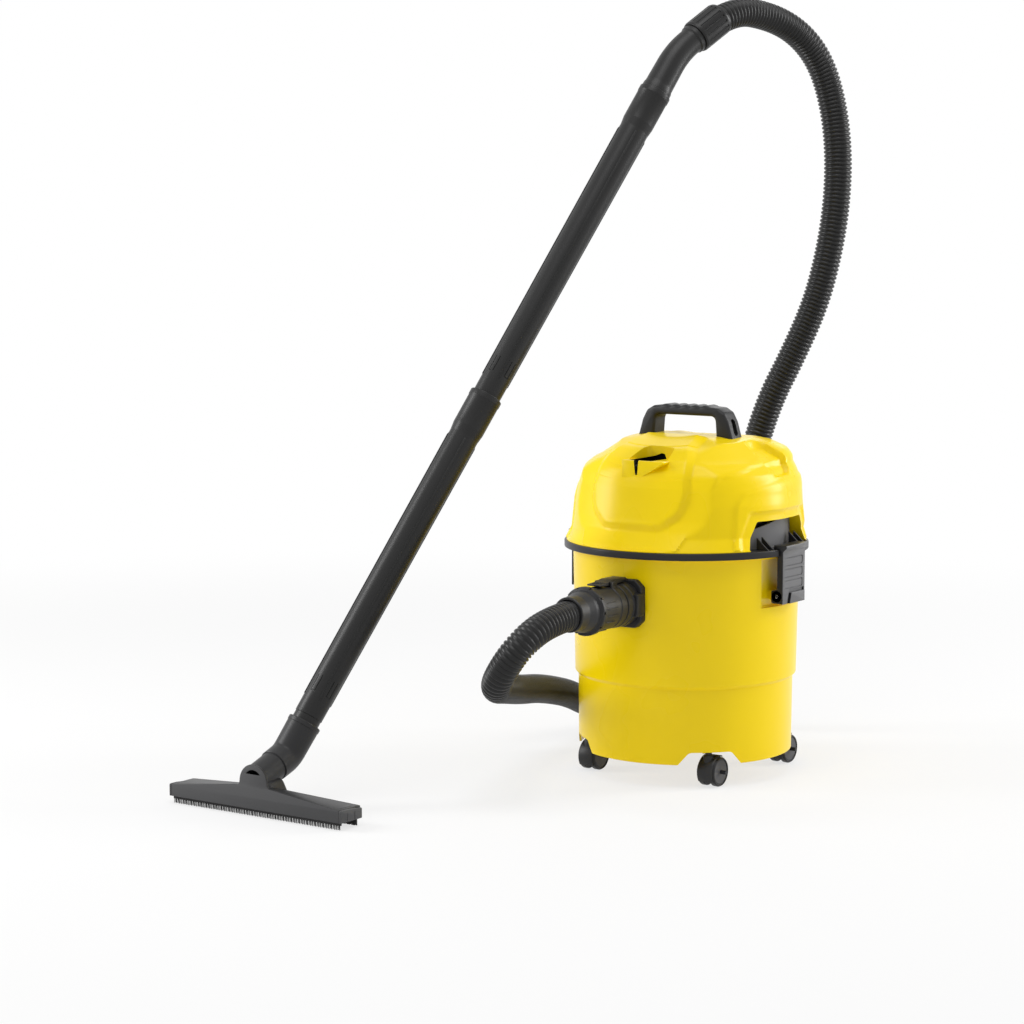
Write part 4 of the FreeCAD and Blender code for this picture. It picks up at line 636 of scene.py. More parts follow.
WAND = direction(WAND_PLAN, WAND_RISE)
CUFF = direction(WAND_PLAN, WAND_RISE - BEND_TURN)
WAND_START = Vector((-256.9, -454.4, 101.6))
TUBE_LENGTH, TUBE_PLUG, SLEEVE_INSERT = 494.0, 42.0, 34.0
LOWER_TUBE = WAND_START - WAND * SLEEVE_INSERT
UPPER_TUBE = LOWER_TUBE + WAND * (TUBE_LENGTH - TUBE_PLUG)
WAND_TOP = UPPER_TUBE + WAND * TUBE_LENGTH
BEND_ARC, BEND_STRAIGHT, BEND_TAIL, CUFF_LENGTH = 118.0, 40.0, 10.0, 46.0
BEND_LEG = BEND_ARC * math.tan(BEND_TURN / 2)
BEND_CORNER = WAND_TOP + WAND * (BEND_STRAIGHT + BEND_LEG)
CUFF_START = BEND_CORNER + CUFF * (BEND_LEG + BEND_TAIL)
CUFF_END = CUFF_START + CUFF * CUFF_LENGTH
print("cuff from", [round(v, 1) for v in CUFF_START], "to", [round(v, 1) for v in CUFF_END])

# %% The route of the hose
INLET_Z = 231.0
HOSE_R = 18.5
HOSE_ROOT_R = 16.6
HOSE_BORE_R = 15.3
HOSE_AROUND = 28
RIB_PITCH = 5.5
HOSE_ROUTE = [
    CUFF_END - CUFF * 35.0,
    CUFF_END + CUFF * 21.0,
    Vector((7, 192, 963)),
    Vector((28, 232, 942)),
    Vector((44, 260, 906)),
    Vector((55, 275, 853)),
    Vector((62, 279, 791)),
    Vector((63, 275, 725)),
    Vector((57, 267, 659)),
    Vector((42, 259, 589)),
    Vector((18, 242, 521)),
    Vector((-10, 226, 456)),
    Vector((-34, 218, 370)),
    Vector((-40, 215, 285)),
    Vector((-46, 226, 200)),
    Vector((-50, 232, 122)),
    Vector((-72, 240, 60)),
    Vector((-128, 242, 19.5)),
    Vector((-188, 212, 19.5)),
    Vector((-215, 148, 26)),
    Vector((-206, 76, 52)),
    Vector((-183, 4, 76)),
    Vector((-161, -70, 94)),
    Vector((-136, -142, 109)),
    Vector((-109, -216, 121)),
    Vector((-79, -287, 136)),
    Vector((-53, -354, 149)),
    Vector((-11, -358, 206)),
    Vector((0, -301, 231)),
    Vector((0, -232, 231)),
]


def centreline(points):
    """Points along the smooth curve that has these points as its control points, in metres."""
    curve = bpy.data.curves.new("hose route", "CURVE")
    curve.dimensions = "3D"
    curve.resolution_u = 24
    spline = curve.splines.new("NURBS")
    spline.points.add(len(points) - 1)
    for target, point in zip(spline.points, points):
        target.co = (*row(point), 1)
    spline.order_u = 3
    spline.use_endpoint_u = True
    holder = bpy.data.objects.new("hose route", curve)
    bpy.context.collection.objects.link(holder)
    mesh = bpy.data.meshes.new_from_object(holder)
    line = [v.co.copy() for v in mesh.vertices]
    bpy.data.objects.remove(holder, do_unlink=True)
    bpy.data.meshes.remove(mesh)
    return line


hose_line = centreline(HOSE_ROUTE)
print(len(hose_line), "points along the hose")

# %% Rings along a line, with a side that never twists
LOOK_AHEAD = 0.003
FIRST_SIDE = Vector((0.3, -0.9, 0.3))


class Line:
    """A line of points that can be asked for its place and direction at any distance."""

    def __init__(self, points):
        self.points = points
        self.marks = [0.0]
        for a, b in zip(points, points[1:]):
            self.marks.append(self.marks[-1] + (b - a).length)
        self.length = self.marks[-1]

    def place(self, distance):
        distance = min(max(distance, 0.0), self.length)
        i = min(bisect_right(self.marks, distance) - 1, len(self.points) - 2)
        share = (distance - self.marks[i]) / (self.marks[i + 1] - self.marks[i])
        return self.points[i].lerp(self.points[i + 1], share)

    def way(self, distance):
        return (self.place(distance + LOOK_AHEAD) - self.place(distance - LOOK_AHEAD)).normalized()


def ringed_tube(name, points, marks, around):
    """A closed skin through rings of the given (distance, radius) marks, all in metres."""
    line, side = Line(points), FIRST_SIDE
    turns = [2 * math.pi * i / around for i in range(around)]
    mesh = bpy.data.meshes.new(name)
    shape = bmesh.new()
    rings = []
    for distance, radius in marks:
        way = line.way(distance)
        side = (side - way * side.dot(way)).normalized()
        other = way.cross(side)
        here = line.place(distance)
        spokes = [side * math.cos(t) + other * math.sin(t) for t in turns]
        rings.append([shape.verts.new(here + spoke * radius) for spoke in spokes])
    for low, high in zip(rings, rings[1:] + rings[:1]):
        for i in range(around):
            j = (i + 1) % around
            shape.faces.new((low[i], low[j], high[j], high[i]))
    bmesh.ops.recalc_face_normals(shape, faces=shape.faces)
    shape.to_mesh(mesh)
    shape.free()
    obj = bpy.data.objects.new(name, mesh)
    bpy.context.collection.objects.link(obj)
    return obj


# %% The ribbed hose
RIB_SHAPE = [(0.0, 0.0), (0.16, 0.0), (0.3, 0.72), (0.46, 1.0), (0.7, 1.0), (0.86, 0.72)]
BORE_STEP = 0.02


def rib_marks(length):
    """(distance, radius) of each ring: a round rib and a narrow valley in every pitch."""
    count = round(length / (RIB_PITCH * MM))
    pitch = length / count
    marks = []
    for i in range(count):
        for share, rise in RIB_SHAPE:
            radius = HOSE_ROOT_R + (HOSE_R - HOSE_ROOT_R) * rise
            marks.append(((i + share) * pitch, radius * MM))
    return marks + [(length, HOSE_ROOT_R * MM)], count


def bore_marks(length, radius):
    """Rings of the bore, back from the far end to the start."""
    count = math.ceil(length / BORE_STEP)
    return [(length * (count - i) / count, radius * MM) for i in range(count + 1)]


hose_run = Line(hose_line).length
hose_marks, rib_count = rib_marks(hose_run)
hose_marks += bore_marks(hose_run, HOSE_BORE_R)
hose = ringed_tube("ribbed_hose", hose_line, hose_marks, HOSE_AROUND)
hose.data.materials.append(HOSE_BLACK)
alone(hose)
bpy.ops.object.shade_smooth_by_angle(angle=math.radians(80))
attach(hose, "base")
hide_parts("suction_hose")
print(rib_count, "ribs,", len(hose.data.polygons), "faces, run", round(hose_run, 3), "m")

# %% [markdown]
# ## Tub
# The tub is one moulding: a slightly tapered wall with a ledge a third of the way up, a rim, a
# sunk floor and four arches for the castors. It is turned as an outer and an inner body, the
# latch panels are cut flat, and one is taken from the other, so the wall has an even thickness.

# %% The tub's walls
TUB_SEGMENTS = 160
TUB_TOP_Z, TUB_TOP_R, TUB_WALL = 292.5, 144.0, 2.6
TUB_BOTTOM_R, SKIRT_Z, FLOOR_Z = 136.0, 29.5, 46.0
STEP_Z, STEP_LOW_R, STEP_HIGH_R = 124.0, 136.8, 141.0
STEP_TOP_Z = 128.2
RIM_R, RIM_LOW_Z = 150.5, 287.0
UNDERSIDE_R = 133.4


def tub_body():
    """The tub without its floor recess, full inside."""
    corners = [
        (0, SKIRT_Z),
        (TUB_BOTTOM_R, SKIRT_Z, 1.0),
        (STEP_LOW_R, STEP_Z, 1.2),
        (STEP_HIGH_R, STEP_TOP_Z, 1.6),
        (TUB_TOP_R, RIM_LOW_Z, 1.0),
        (RIM_R, RIM_LOW_Z, 0.8),
        (RIM_R, TUB_TOP_Z, 1.2),
        (0, TUB_TOP_Z),
    ]
    return turned("tub_shell", filleted(corners), TUB_SEGMENTS)


def tub_room():
    """What is taken out of the tub to leave its wall."""
    corners = [
        (0, FLOOR_Z + TUB_WALL),
        (TUB_BOTTOM_R - TUB_WALL, FLOOR_Z + TUB_WALL, 6),
        (STEP_LOW_R - TUB_WALL, STEP_Z + 1, 2),
        (STEP_HIGH_R - TUB_WALL, STEP_TOP_Z + 1, 2),
        (TUB_TOP_R - TUB_WALL, RIM_LOW_Z),
        (TUB_TOP_R - TUB_WALL, TUB_TOP_Z + 2),
        (0, TUB_TOP_Z + 2),
    ]
    return turned("room", filleted(corners), TUB_SEGMENTS)


def latch_panel(inset):
    """The flat hollow in the tub's right side that the latch closes into."""
    face, half, far = 133.8 - inset, 37.0 + inset, 160.5
    wide = half + 3.1 * (far - face)
    outline = [(face, -half), (far, -wide), (far, wide), (face, half)]
    return prism_z("latch panel", outline, 222.5 - inset, 283.5 + inset)


room = cut(tub_room(), *both_sides(latch_panel(TUB_WALL)))
tub = cut(tub_body(), *both_sides(latch_panel(0)))
tub = cut(tub, room)
underside = [(0, 20), (UNDERSIDE_R, 20), (UNDERSIDE_R, FLOOR_Z), (0, FLOOR_Z)]
tub = cut(tub, turned("underside", underside, TUB_SEGMENTS))
print("tub walls", len(tub.data.polygons), "faces")

# %% Castor sockets, latch brackets, arches and the inlet's hole
CASTOR_CIRCLE_R = 125.0
CASTOR_ANGLES = {"front_right": 45, "rear_right": 135, "rear_left": 225, "front_left": 315}
SOCKET_FOOT_Z, SOCKET_HEIGHT, SOCKET_OUT_R = 41, 23, 8.6
STEM_HOLE_R, STEM_HOLE_DEPTH = 4.1, 21
INLET_HOLE_R = 20.6
PIVOT_X, PIVOT_Z = 148.3, 236.5


def castor_place(name):
    turn = math.radians(CASTOR_ANGLES[name] - 90)
    return Vector((CASTOR_CIRCLE_R * math.cos(turn), CASTOR_CIRCLE_R * math.sin(turn), 0))


def castor_arch(name):
    outline = filleted([(-47, 22), (-27, 45.4, 9), (27, 45.4, 9), (47, 22)], steps=6)
    return swivelled(prism_y("arch " + name, outline, -149, -119), CASTOR_ANGLES[name])


def castor_rods(name, low_z, radius, height):
    """An upright rod at each castor."""
    return [
        rod(name, castor_place(place) + UP * low_z, UP, radius, height, 32)
        for place in CASTOR_ANGLES
    ]


def latch_bracket():
    corners = [(132.0, 230.9), (153.9, 230.9, 5.6), (153.9, 242.1, 5.6), (132.0, 242.1)]
    return prism_y("bracket", filleted(corners, steps=8), -18, 18)


tub = fused(tub, *both_sides(latch_bracket()))
tub = fused(tub, *castor_rods("socket", SOCKET_FOOT_Z, SOCKET_OUT_R, SOCKET_HEIGHT))
stems = castor_rods("stem", SOCKET_FOOT_Z - 1, STEM_HOLE_R, STEM_HOLE_DEPTH)
tub = cut(tub, *[castor_arch(place) for place in CASTOR_ANGLES])
tub = cut(tub, *stems)
tub = cut(tub, rod("inlet hole", (0, -155, INLET_Z), BACK, INLET_HOLE_R, 45, 64))
finished(tub, "base", YELLOW, ["tub"])

# %% [markdown]
# ## Ring and inner wall
# The black ring is the foot of the motor head. It caps the tub's rim, has a notch for each latch,
# and carries the grey wall that shows through the latch windows. A drum stands behind that wall,
# black as painted shade for the dark inside of the head above the wall. Ring and wall are one
# closed profile that is turned, and so is the drum.

# %% The head's base
WEB_LOW_Z, WEB_TOP_Z, RING_LOW_Z, RING_R = 292.7, 295.7, 287.0, 155.4
BASE_WALL_R, BASE_WALL_TOP_Z, WALL_STEP_Z, DRUM_R = 131.0, 352.0, 331.5, 119.0
PORT_X, PORT_Z, PORT_R = 48.0, 336.0, 22.5
GLAND_X, GLAND_Z, GLAND_R = -62.0, 326.0, 7.0
NOTCH_X, NOTCH_HALF = 142.4, 30.5
BASE_WALL, RING_WALL, SHAFT_HOLE_R = 2.4, 2.3, 24


def head_base_profile():
    wall = BASE_WALL_R - BASE_WALL
    return filleted(
        [
            (RING_R, RING_LOW_Z, 0.9),
            (RING_R, WEB_TOP_Z, 1.6),
            (BASE_WALL_R, WEB_TOP_Z, 1.0),
            (BASE_WALL_R, WALL_STEP_Z, 0.6),
            (wall, WALL_STEP_Z, 0.6),
            (wall, WEB_TOP_Z),
            (SHAFT_HOLE_R, WEB_TOP_Z),
            (SHAFT_HOLE_R, WEB_LOW_Z),
            (RING_R - RING_WALL, WEB_LOW_Z),
            (RING_R - RING_WALL, RING_LOW_Z),
        ],
        closed=True,
    )


def gussets():
    """Small ribs between the ring and the wall, in front of and behind each latch."""
    low_z = WEB_TOP_Z - 1
    outline = [(BASE_WALL_R - 1, low_z), (148, low_z), (BASE_WALL_R - 1, WEB_TOP_Z + 15)]
    return [prism_y("gusset", outline, y, y + 2) for y in (-47, -35, 33, 45)]


def port_hole():
    """The hole for the blower port, through everything at the back of the head."""
    return rod("port", (PORT_X, 60, PORT_Z), BACK, PORT_R, 110, 64)


def gland_hole():
    return rod("gland", (GLAND_X, 60, GLAND_Z), BACK, GLAND_R, 110, 32)


def front_gap(back_y):
    """Room behind the set-back front of the cover."""
    return slab("front gap", -100, 100, -150, back_y, WEB_TOP_Z + 2, BASE_WALL_TOP_Z + 5)


def on_inner_wall(at, normal):
    return DRUM_R + 1 < math.hypot(at.x, at.y) < BASE_WALL_R + 8 and at.z > WEB_TOP_Z + 0.1


head_base = turned("ring_and_wall", head_base_profile(), TUB_SEGMENTS, closed=True)
notch = slab("notch", NOTCH_X, RING_R + 5, -NOTCH_HALF, NOTCH_HALF, RING_LOW_Z - 1, WEB_TOP_Z + 1)
head_base = fused(head_base, *[piece for g in gussets() for piece in both_sides(g)])
head_base = cut(head_base, *both_sides(notch))
head_base = cut(head_base, port_hole())
head_base = cut(head_base, gland_hole())
head_base = cut(head_base, front_gap(-96))
wall_top = prism_x("wall top", [(-95, 311), (14, 331), (14, 350), (-95, 350)], 90, 150)
head_base = cut(head_base, *both_sides(wall_top))
drum_in_r, drum_low_z = DRUM_R - BASE_WALL, WEB_TOP_Z - 1
drum_profile = [
    (DRUM_R, drum_low_z),
    (DRUM_R, BASE_WALL_TOP_Z),
    (drum_in_r, BASE_WALL_TOP_Z),
    (drum_in_r, drum_low_z),
]
# The drum keeps the ring's black as painted shade, for the dark inside of the head above the wall.
shade_drum = turned("shade_drum", drum_profile, 120, closed=True)
shade_drum = cut(shade_drum, front_gap(-88), port_hole())
head_base = joined([head_base, shade_drum])
finished(head_base, "head", RING_BLACK, ["head_base"])
# Only the wall turns grey; the drum behind it keeps the ring's black as painted shade.
second_finish(head_base, WALL_GREY, on_inner_wall)

# %% [markdown]
# ## Head cover
# The cover is the showpiece: a domed moulding whose front is a bevelled panel inside a second
# step, with sunk frames round the latch windows and a scoop high on each side. Cutting it from
# flat-sided blocks would leave hard creases, so the dome is turned with many rings, and then each
# point is moved along its own normal by the depth of the relief at that place. Only what the
# mould cuts sharply is cut with booleans: windows, pocket, slots and the openings at the back.

# %% The dome's outline
COVER_FOOT_R, COVER_FLARE_R, COVER_FLARE_Z = 153.2, 144.4, 312.0
COVER_WALL_R, SHOULDER_Z, SHOULDER_ARC, SHOULDER_TURN = 139.5, 362.0, 56.0, 50.0
CROWN_EDGE_R, CROWN_EDGE_Z, CROWN_MID_Z, CROWN_TOP_Z = 84.0, 427.5, 431.5, 433.0
CROWN_MID_R = 0.62 * CROWN_EDGE_R
SHOULDER_CENTRE_R = COVER_WALL_R - SHOULDER_ARC
COVER_WALL = 2.6
DOME_SEGMENTS, ROOM_SEGMENTS = 432, 144


def shoulder_arc(radius, steps):
    turns = [math.radians(SHOULDER_TURN * i / steps) for i in range(steps + 1)]
    return [
        (SHOULDER_CENTRE_R + radius * math.cos(t), SHOULDER_Z + radius * math.sin(t)) for t in turns
    ]


def dome_outline(step):
    """The profile of the dome, with its points no further apart than step."""
    lower = filleted(
        [
            (0, WEB_TOP_Z),
            (COVER_FOOT_R, WEB_TOP_Z, 0.8),
            (COVER_FLARE_R, COVER_FLARE_Z, 9),
            (COVER_WALL_R, SHOULDER_Z),
        ]
    )
    crown = filleted(
        [
            shoulder_arc(SHOULDER_ARC, 12)[-1],
            (CROWN_EDGE_R, CROWN_EDGE_Z, 12),
            (CROWN_MID_R, CROWN_MID_Z, 60),
            (0, CROWN_TOP_Z),
        ]
    )
    skin = dense(lower[1:] + shoulder_arc(SHOULDER_ARC, 12)[1:-1] + crown[:-1], step)
    return [(0, WEB_TOP_Z)] + skin + [(0, CROWN_TOP_Z)]


dome = turned("head_cover_shell", dome_outline(1.8), DOME_SEGMENTS)
room = turned("room", dome_outline(4.0), ROOM_SEGMENTS)
print("dome", len(dome.data.polygons), "faces")

# %% Soft steps, lines and distances for the relief


def soft_step(low, high, value):
    """0 below low, 1 above high, and an S between."""
    t = min(max((value - low) / (high - low), 0.0), 1.0)
    return t * t * (3 - 2 * t)


def ramp(low, high, value):
    """0 up to low, 1 from high on, and a straight slope between. Low may be the larger one."""
    return min(max((value - low) / (high - low), 0.0), 1.0)


def on_line(points, value):
    """The height of a line of (value, height) points."""
    for (a, low), (b, high) in zip(points, points[1:]):
        if value <= b:
            return low + (high - low) * ramp(a, b, value)
    return points[-1][1]


def beside(line, x, z):
    """Distance from a line of points, positive on its left side."""
    nearest, side = 1e9, 1
    for (ax, az), (bx, bz) in zip(line, line[1:]):
        run_x, run_z = bx - ax, bz - az
        along = (x - ax) * run_x + (z - az) * run_z
        t = min(max(along / (run_x * run_x + run_z * run_z), 0.0), 1.0)
        away_x, away_z = x - ax - t * run_x, z - az - t * run_z
        far = away_x * away_x + away_z * away_z
        if far < nearest - 1e-9:
            nearest, side = far, run_x * away_z - run_z * away_x
    return math.copysign(math.sqrt(nearest), side)


def edge_planes(outline):
    """(normal, offset) of each edge of a convex outline that is drawn anticlockwise."""
    planes = []
    for a, b in zip(outline, outline[1:] + outline[:1]):
        run = Vector((b[0] - a[0], b[1] - a[1])).normalized()
        normal = Vector((run.y, -run.x))
        planes.append((normal, normal.dot(Vector(a))))
    return planes


def outside(planes, x, z, roundness):
    """How far a point lies outside a convex outline with round corners. Inside it is negative."""
    reach = [n.x * x + n.y * z - offset for n, offset in planes]
    most = max(reach)
    return most + roundness * math.log(sum(math.exp((r - most) / roundness) for r in reach))


def soft_least(a, b, radius):
    """The smaller of two distances, with a round corner where they meet."""
    overlap = max(radius - abs(a - b), 0.0)
    return min(a, b) - overlap * overlap / (4 * radius)


def bearing_of(at):
    """Degrees from the tub's front, the same to both sides."""
    return math.degrees(math.atan2(abs(at.x), -at.y))


# %% The dome out of round: lower shoulders in front, fuller ones behind the latches
FRONT_DROP = [
    (350, 0), (374, -2.6), (388, -3.0), (399, -6.5), (410, -8.4), (424, -8.0), (433, -5.0)
]
SIDE_FILL = [
    (300, 0), (320, 4.4), (345, 4.4), (378, 5.4), (393, 6.2),
    (405, 9.0), (416, 6.0), (424, 0.0), (429, -4.0), (433, -5.0)
]
FRONT_ENDS, SIDE_STARTS, SIDE_ENDS = (70, 112), (94, 118), (126, 144)
BACK_DROP, BACK_DROP_Z = 4.0, (415, 428)


def out_of_round(at):
    """How far the dome stands out of its turned form, by bearing and height."""
    bearing = bearing_of(at)
    front = 1 - soft_step(*FRONT_ENDS, bearing)
    side = soft_step(*SIDE_STARTS, bearing) * (1 - soft_step(*SIDE_ENDS, bearing))
    rest = max(1 - front - side, 0.0)
    shift = front * on_line(FRONT_DROP, at.z) + side * on_line(SIDE_FILL, at.z)
    return shift - rest * BACK_DROP * soft_step(*BACK_DROP_Z, at.z)


def pushed(obj, depth_of):
    """Moves each point of a turned shell along its own normal. The flat foot stays."""
    shifts = []
    for vertex in obj.data.vertices:
        at, normal = vertex.co / MM, vertex.normal.copy()
        if at.z > WEB_TOP_Z + 1.5 and normal.z > -0.3:
            shifts.append((vertex, normal * depth_of(at, normal) * MM))
    for vertex, shift in shifts:
        vertex.co += shift
    obj.data.update()
    return obj


for shell in (dome, room):
    pushed(shell, lambda at, normal: out_of_round(at))
print("side shoulder filled by", max(fill for _, fill in SIDE_FILL), "mm")

# %% The front face, the raised panel and the steps beside them
FACE_LINE = [
    (-160, 280), (-146, 301), (-141.5, 307), (-133, 319), (-126.5, 332), (-122, 350),
    (-118, 370), (-113, 386), (-103, 399.5), (-84, 413.5), (-60, 421), (-20, 431)
]
FACE_CURVE_R, FACE_REACH, OUT_OF_REACH = 230.0, (-32.0, 8.0), 60.0
FACE_EDGE, PANEL_EDGE = 1.5, 2.0
PANEL_STAND, PANEL_BEVEL = 6.0, 9.0
CAP_STAND, CREASE_STAND = 2.8, 2.0
STEP_WIDTH, STEPS_FADE, STEPS_BACK_Y = 5.0, (135, 165), 125
UNROLLED_R = 140.0
FACE_BY_HEIGHT = [(z, y) for y, z in dense(filleted([(y, z, 30) for y, z in FACE_LINE]), 1.5)]
CAP_BY_BEARING = [
    (32.1, 317.9), (36.6, 334.6), (39.7, 354.8), (44.1, 374.8, 16), (50.5, 385.4, 16),
    (60.8, 389.8), (75, 395.9), (85.3, 400.2), (150, 402)
]
CREASE_BY_BEARING = [
    (55, 311), (56.5, 350.1), (58.1, 357.3, 8), (62.6, 366.1, 8),
    (71, 371.7), (92.9, 378.4), (108.4, 380.6), (150, 383)
]


def unrolled(points):
    """A line given by bearing and height, laid flat in millimetres."""
    return filleted([(math.radians(p[0]) * UNROLLED_R, *p[1:]) for p in points])


CAP_LINE, CREASE_LINE = unrolled(CAP_BY_BEARING), unrolled(CREASE_BY_BEARING)
PANEL_RIGHT = [(42, 328), (62, 343), (69.5, 371), (66, 393), (56, 404), (44, 440)]
PANEL = edge_planes([(-x, z) for x, z in PANEL_RIGHT[::-1]] + PANEL_RIGHT)


def to_face(at, normal):
    """How far a point must move along its normal to reach the set-back front face."""

    def proud(t):
        p = at + normal * t
        return on_line(FACE_BY_HEIGHT, p.z) + p.x * p.x / (2 * FACE_CURVE_R) - p.y

    low, high = FACE_REACH
    if proud(high) < 0 or proud(low) > 0:
        return OUT_OF_REACH
    for _ in range(12):
        middle = (low + high) / 2
        low, high = (middle, high) if proud(middle) < 0 else (low, middle)
    return low


def stepped(at):
    """The cap over the shoulder and the band under it."""
    u = math.radians(bearing_of(at)) * UNROLLED_R
    fade = 1 - soft_step(*STEPS_FADE, bearing_of(at))
    cap = CAP_STAND * ramp(-STEP_WIDTH / 2, STEP_WIDTH / 2, beside(CAP_LINE, u, at.z))
    band = CREASE_STAND * ramp(STEP_WIDTH / 2, -STEP_WIDTH / 2, beside(CREASE_LINE, u, at.z))
    return (cap + band) * fade if at.y < STEPS_BACK_Y else 0.0


def fronted(height):
    """Cuts the front face and raises the panel on it."""

    def depth(at, normal):
        base = height(at)
        if at.y > 0:
            return base
        reach = to_face(at, normal)
        level = soft_least(base, reach, FACE_EDGE)
        if reach < OUT_OF_REACH:
            away = outside(PANEL, at.x, at.z + normal.z * reach, PANEL_EDGE)
            level += PANEL_STAND * ramp(PANEL_BEVEL, 0, away)
        return level

    return depth


# %% Window frames, scoops and the hollow under the handle
WINDOW_LOW_HALF, WINDOW_TOP_HALF, WINDOW_TOP_Z, WINDOW_FRAME = 74.0, 50.0, 331.0, 10.5
FRAME_DEPTH, SCOOP_DEPTH, HOLLOW_DEPTH = 3.2, 6.0, 2.6
HOLLOW_HALF_X, HOLLOW_HALF_Y, HOLLOW_MID_Y, HOLLOW_Z = 44, 30, 4, (418, 424)
SIDE_FROM_X = 60
ROOM_MARGIN, ROOM_FOOT_SHARE = 1.2, 0.98


def window_outline(grow):
    """A latch window from the side, grown by that much."""
    return [
        (-WINDOW_LOW_HALF - grow, WEB_TOP_Z - 5),
        (WINDOW_LOW_HALF + grow, WEB_TOP_Z - 5),
        (WINDOW_TOP_HALF + grow, WINDOW_TOP_Z + grow),
        (-WINDOW_TOP_HALF - grow, WINDOW_TOP_Z + grow),
    ]


FRAME = edge_planes(window_outline(WINDOW_FRAME))
SCOOP = edge_planes([(-8, 384), (28, 384), (34, 402), (24, 420), (-2, 420), (-11, 398)])


def side_relief(at):
    """The sunk frame round the latch window, and the scoop above it."""
    if abs(at.x) < SIDE_FROM_X:
        return 0.0
    sunk = FRAME_DEPTH * ramp(2.6, -1.6, outside(FRAME, at.y, at.z, 1.5))
    return -sunk - SCOOP_DEPTH * ramp(1.5, -2.5, outside(SCOOP, at.y, at.z, 2.5))


def crown_relief(at):
    """The flat hollow under the handle's grip."""
    across = soft_step(0, 10, HOLLOW_HALF_X - abs(at.x))
    along = soft_step(0, 8, HOLLOW_HALF_Y - abs(at.y - HOLLOW_MID_Y))
    return -HOLLOW_DEPTH * across * along * soft_step(*HOLLOW_Z, at.z)


pushed(dome, fronted(lambda at: stepped(at) + side_relief(at) + crown_relief(at)))
pushed(room, fronted(lambda at: 0.0))
pushed(room, lambda at, normal: -COVER_WALL - ROOM_MARGIN)
for vertex in room.data.vertices:
    if vertex.co.z < (WEB_TOP_Z + 1.6) * MM:
        x, y, z = vertex.co
        vertex.co = (x * ROOM_FOOT_SHARE, y * ROOM_FOOT_SHARE, z - 2 * MM)
print("front face at", round(FACE_BY_HEIGHT[0][1]), "to", round(FACE_BY_HEIGHT[-1][1]), "mm")

# %% Pocket, slots, windows and the openings at the back
PLATE_FRONT_Y, PLATE_TOP_Z, BED_BACK_Y = -118.5, 405.0, -80.0
VENT_COUNT, VENT_WIDTH, VENT_LENGTH, VENT_PITCH = 5, 3.2, 34.0, 8.0
VENT_X, VENT_Z = -12.0, 340.0


def parking_plate():
    """The upright plate in front of the pocket. Its right edge runs up over the panel."""
    corners = [(-22.5, 383), (4, 383, 3), (38, 402.5, 3), (38, PLATE_TOP_Z), (-22.5, PLATE_TOP_Z)]
    return softened(prism_y("plate", filleted(corners, closed=True), PLATE_FRONT_Y, -84), 1.0, 2)


def parking_bed(inset):
    """The open bed behind the plate."""
    left, right, back = -22.5 - inset, 34 + inset, BED_BACK_Y + inset
    plan = [(left, -145), (right, -145), (right, back, 9), (-6 - inset, back, 9), (left, -108)]
    return prism_z("bed", filleted(plan, closed=True, steps=6), PLATE_TOP_Z - inset, 450)


def parking_slot():
    """The T-shaped slot that the wand's hook drops into."""
    head = [(-14, 398), (19, 398), (19, 405), (17, 411, 2), (12, 412, 2), (3, 408.5, 3), (-14, 405)]
    stem = [(-2.6, 387, 0.8), (0.2, 387, 0.8), (2.2, 407), (-5.0, 407)]
    head = prism_y("slot head", filleted(head, closed=True), PLATE_FRONT_Y + 3.2, -62)
    return fused(head, prism_y("slot stem", filleted(stem, closed=True), -125, -92))


def back_vents():
    """Upright round-ended slots beside the blower port."""
    first = VENT_X - (VENT_COUNT - 1) * VENT_PITCH / 2
    half, low, high = VENT_WIDTH / 2, VENT_Z - VENT_LENGTH / 2, VENT_Z + VENT_LENGTH / 2
    corners = [(-half, low, half), (half, low, half), (half, high, half), (-half, high, half)]
    outline = filleted(corners, closed=True)
    slots = []
    for i in range(VENT_COUNT):
        x = first + i * VENT_PITCH
        slots.append(prism_y("vent", [(x + dx, z) for dx, z in outline], 132.5, 160))
    return slots


cover = fused(faces_out(dome), parking_plate())
cover = cut(cover, parking_bed(0))
cover = cut(cover, cut(faces_out(room), parking_bed(COVER_WALL)))
window = prism_x(
    "window", filleted([(y, z, 4) for y, z in window_outline(0)], closed=True), 90, 170
)
cover = cut(cover, *both_sides(window))
cover = cut(cover, parking_slot(), *back_vents(), port_hole(), gland_hole())
print("cover", len(cover.data.polygons), "faces")

# %% The opening for the switch, and the cover's hand-over
SWITCH_X, SWITCH_Z, SWITCH_LEAN = 62.0, 385.0, math.radians(24.0)


def switch_place(obj):
    """Moves a piece drawn round the origin to the switch, with its Z axis out of the head."""
    bearing = math.atan2(COVER_WALL_R, SWITCH_X) - math.radians(8)
    outward = direction(bearing, SWITCH_LEAN)
    sideways = Vector((-outward.y, outward.x, 0)).normalized()
    upward = outward.cross(sideways)
    reach = COVER_WALL_R - 4.5
    centre = Vector((math.cos(bearing) * reach, math.sin(bearing) * reach, SWITCH_Z)) * MM
    turn = Matrix((sideways, upward, outward)).transposed().to_4x4()
    obj.matrix_world = Matrix.Translation(centre) @ turn
    return place_applied(obj)


cover = cut(cover, switch_place(slab("switch hole", -12.5, 12.5, -15.5, 15.5, -20, 20)))
finished(cover, "head", YELLOW, ["head_cover"], angle=30)


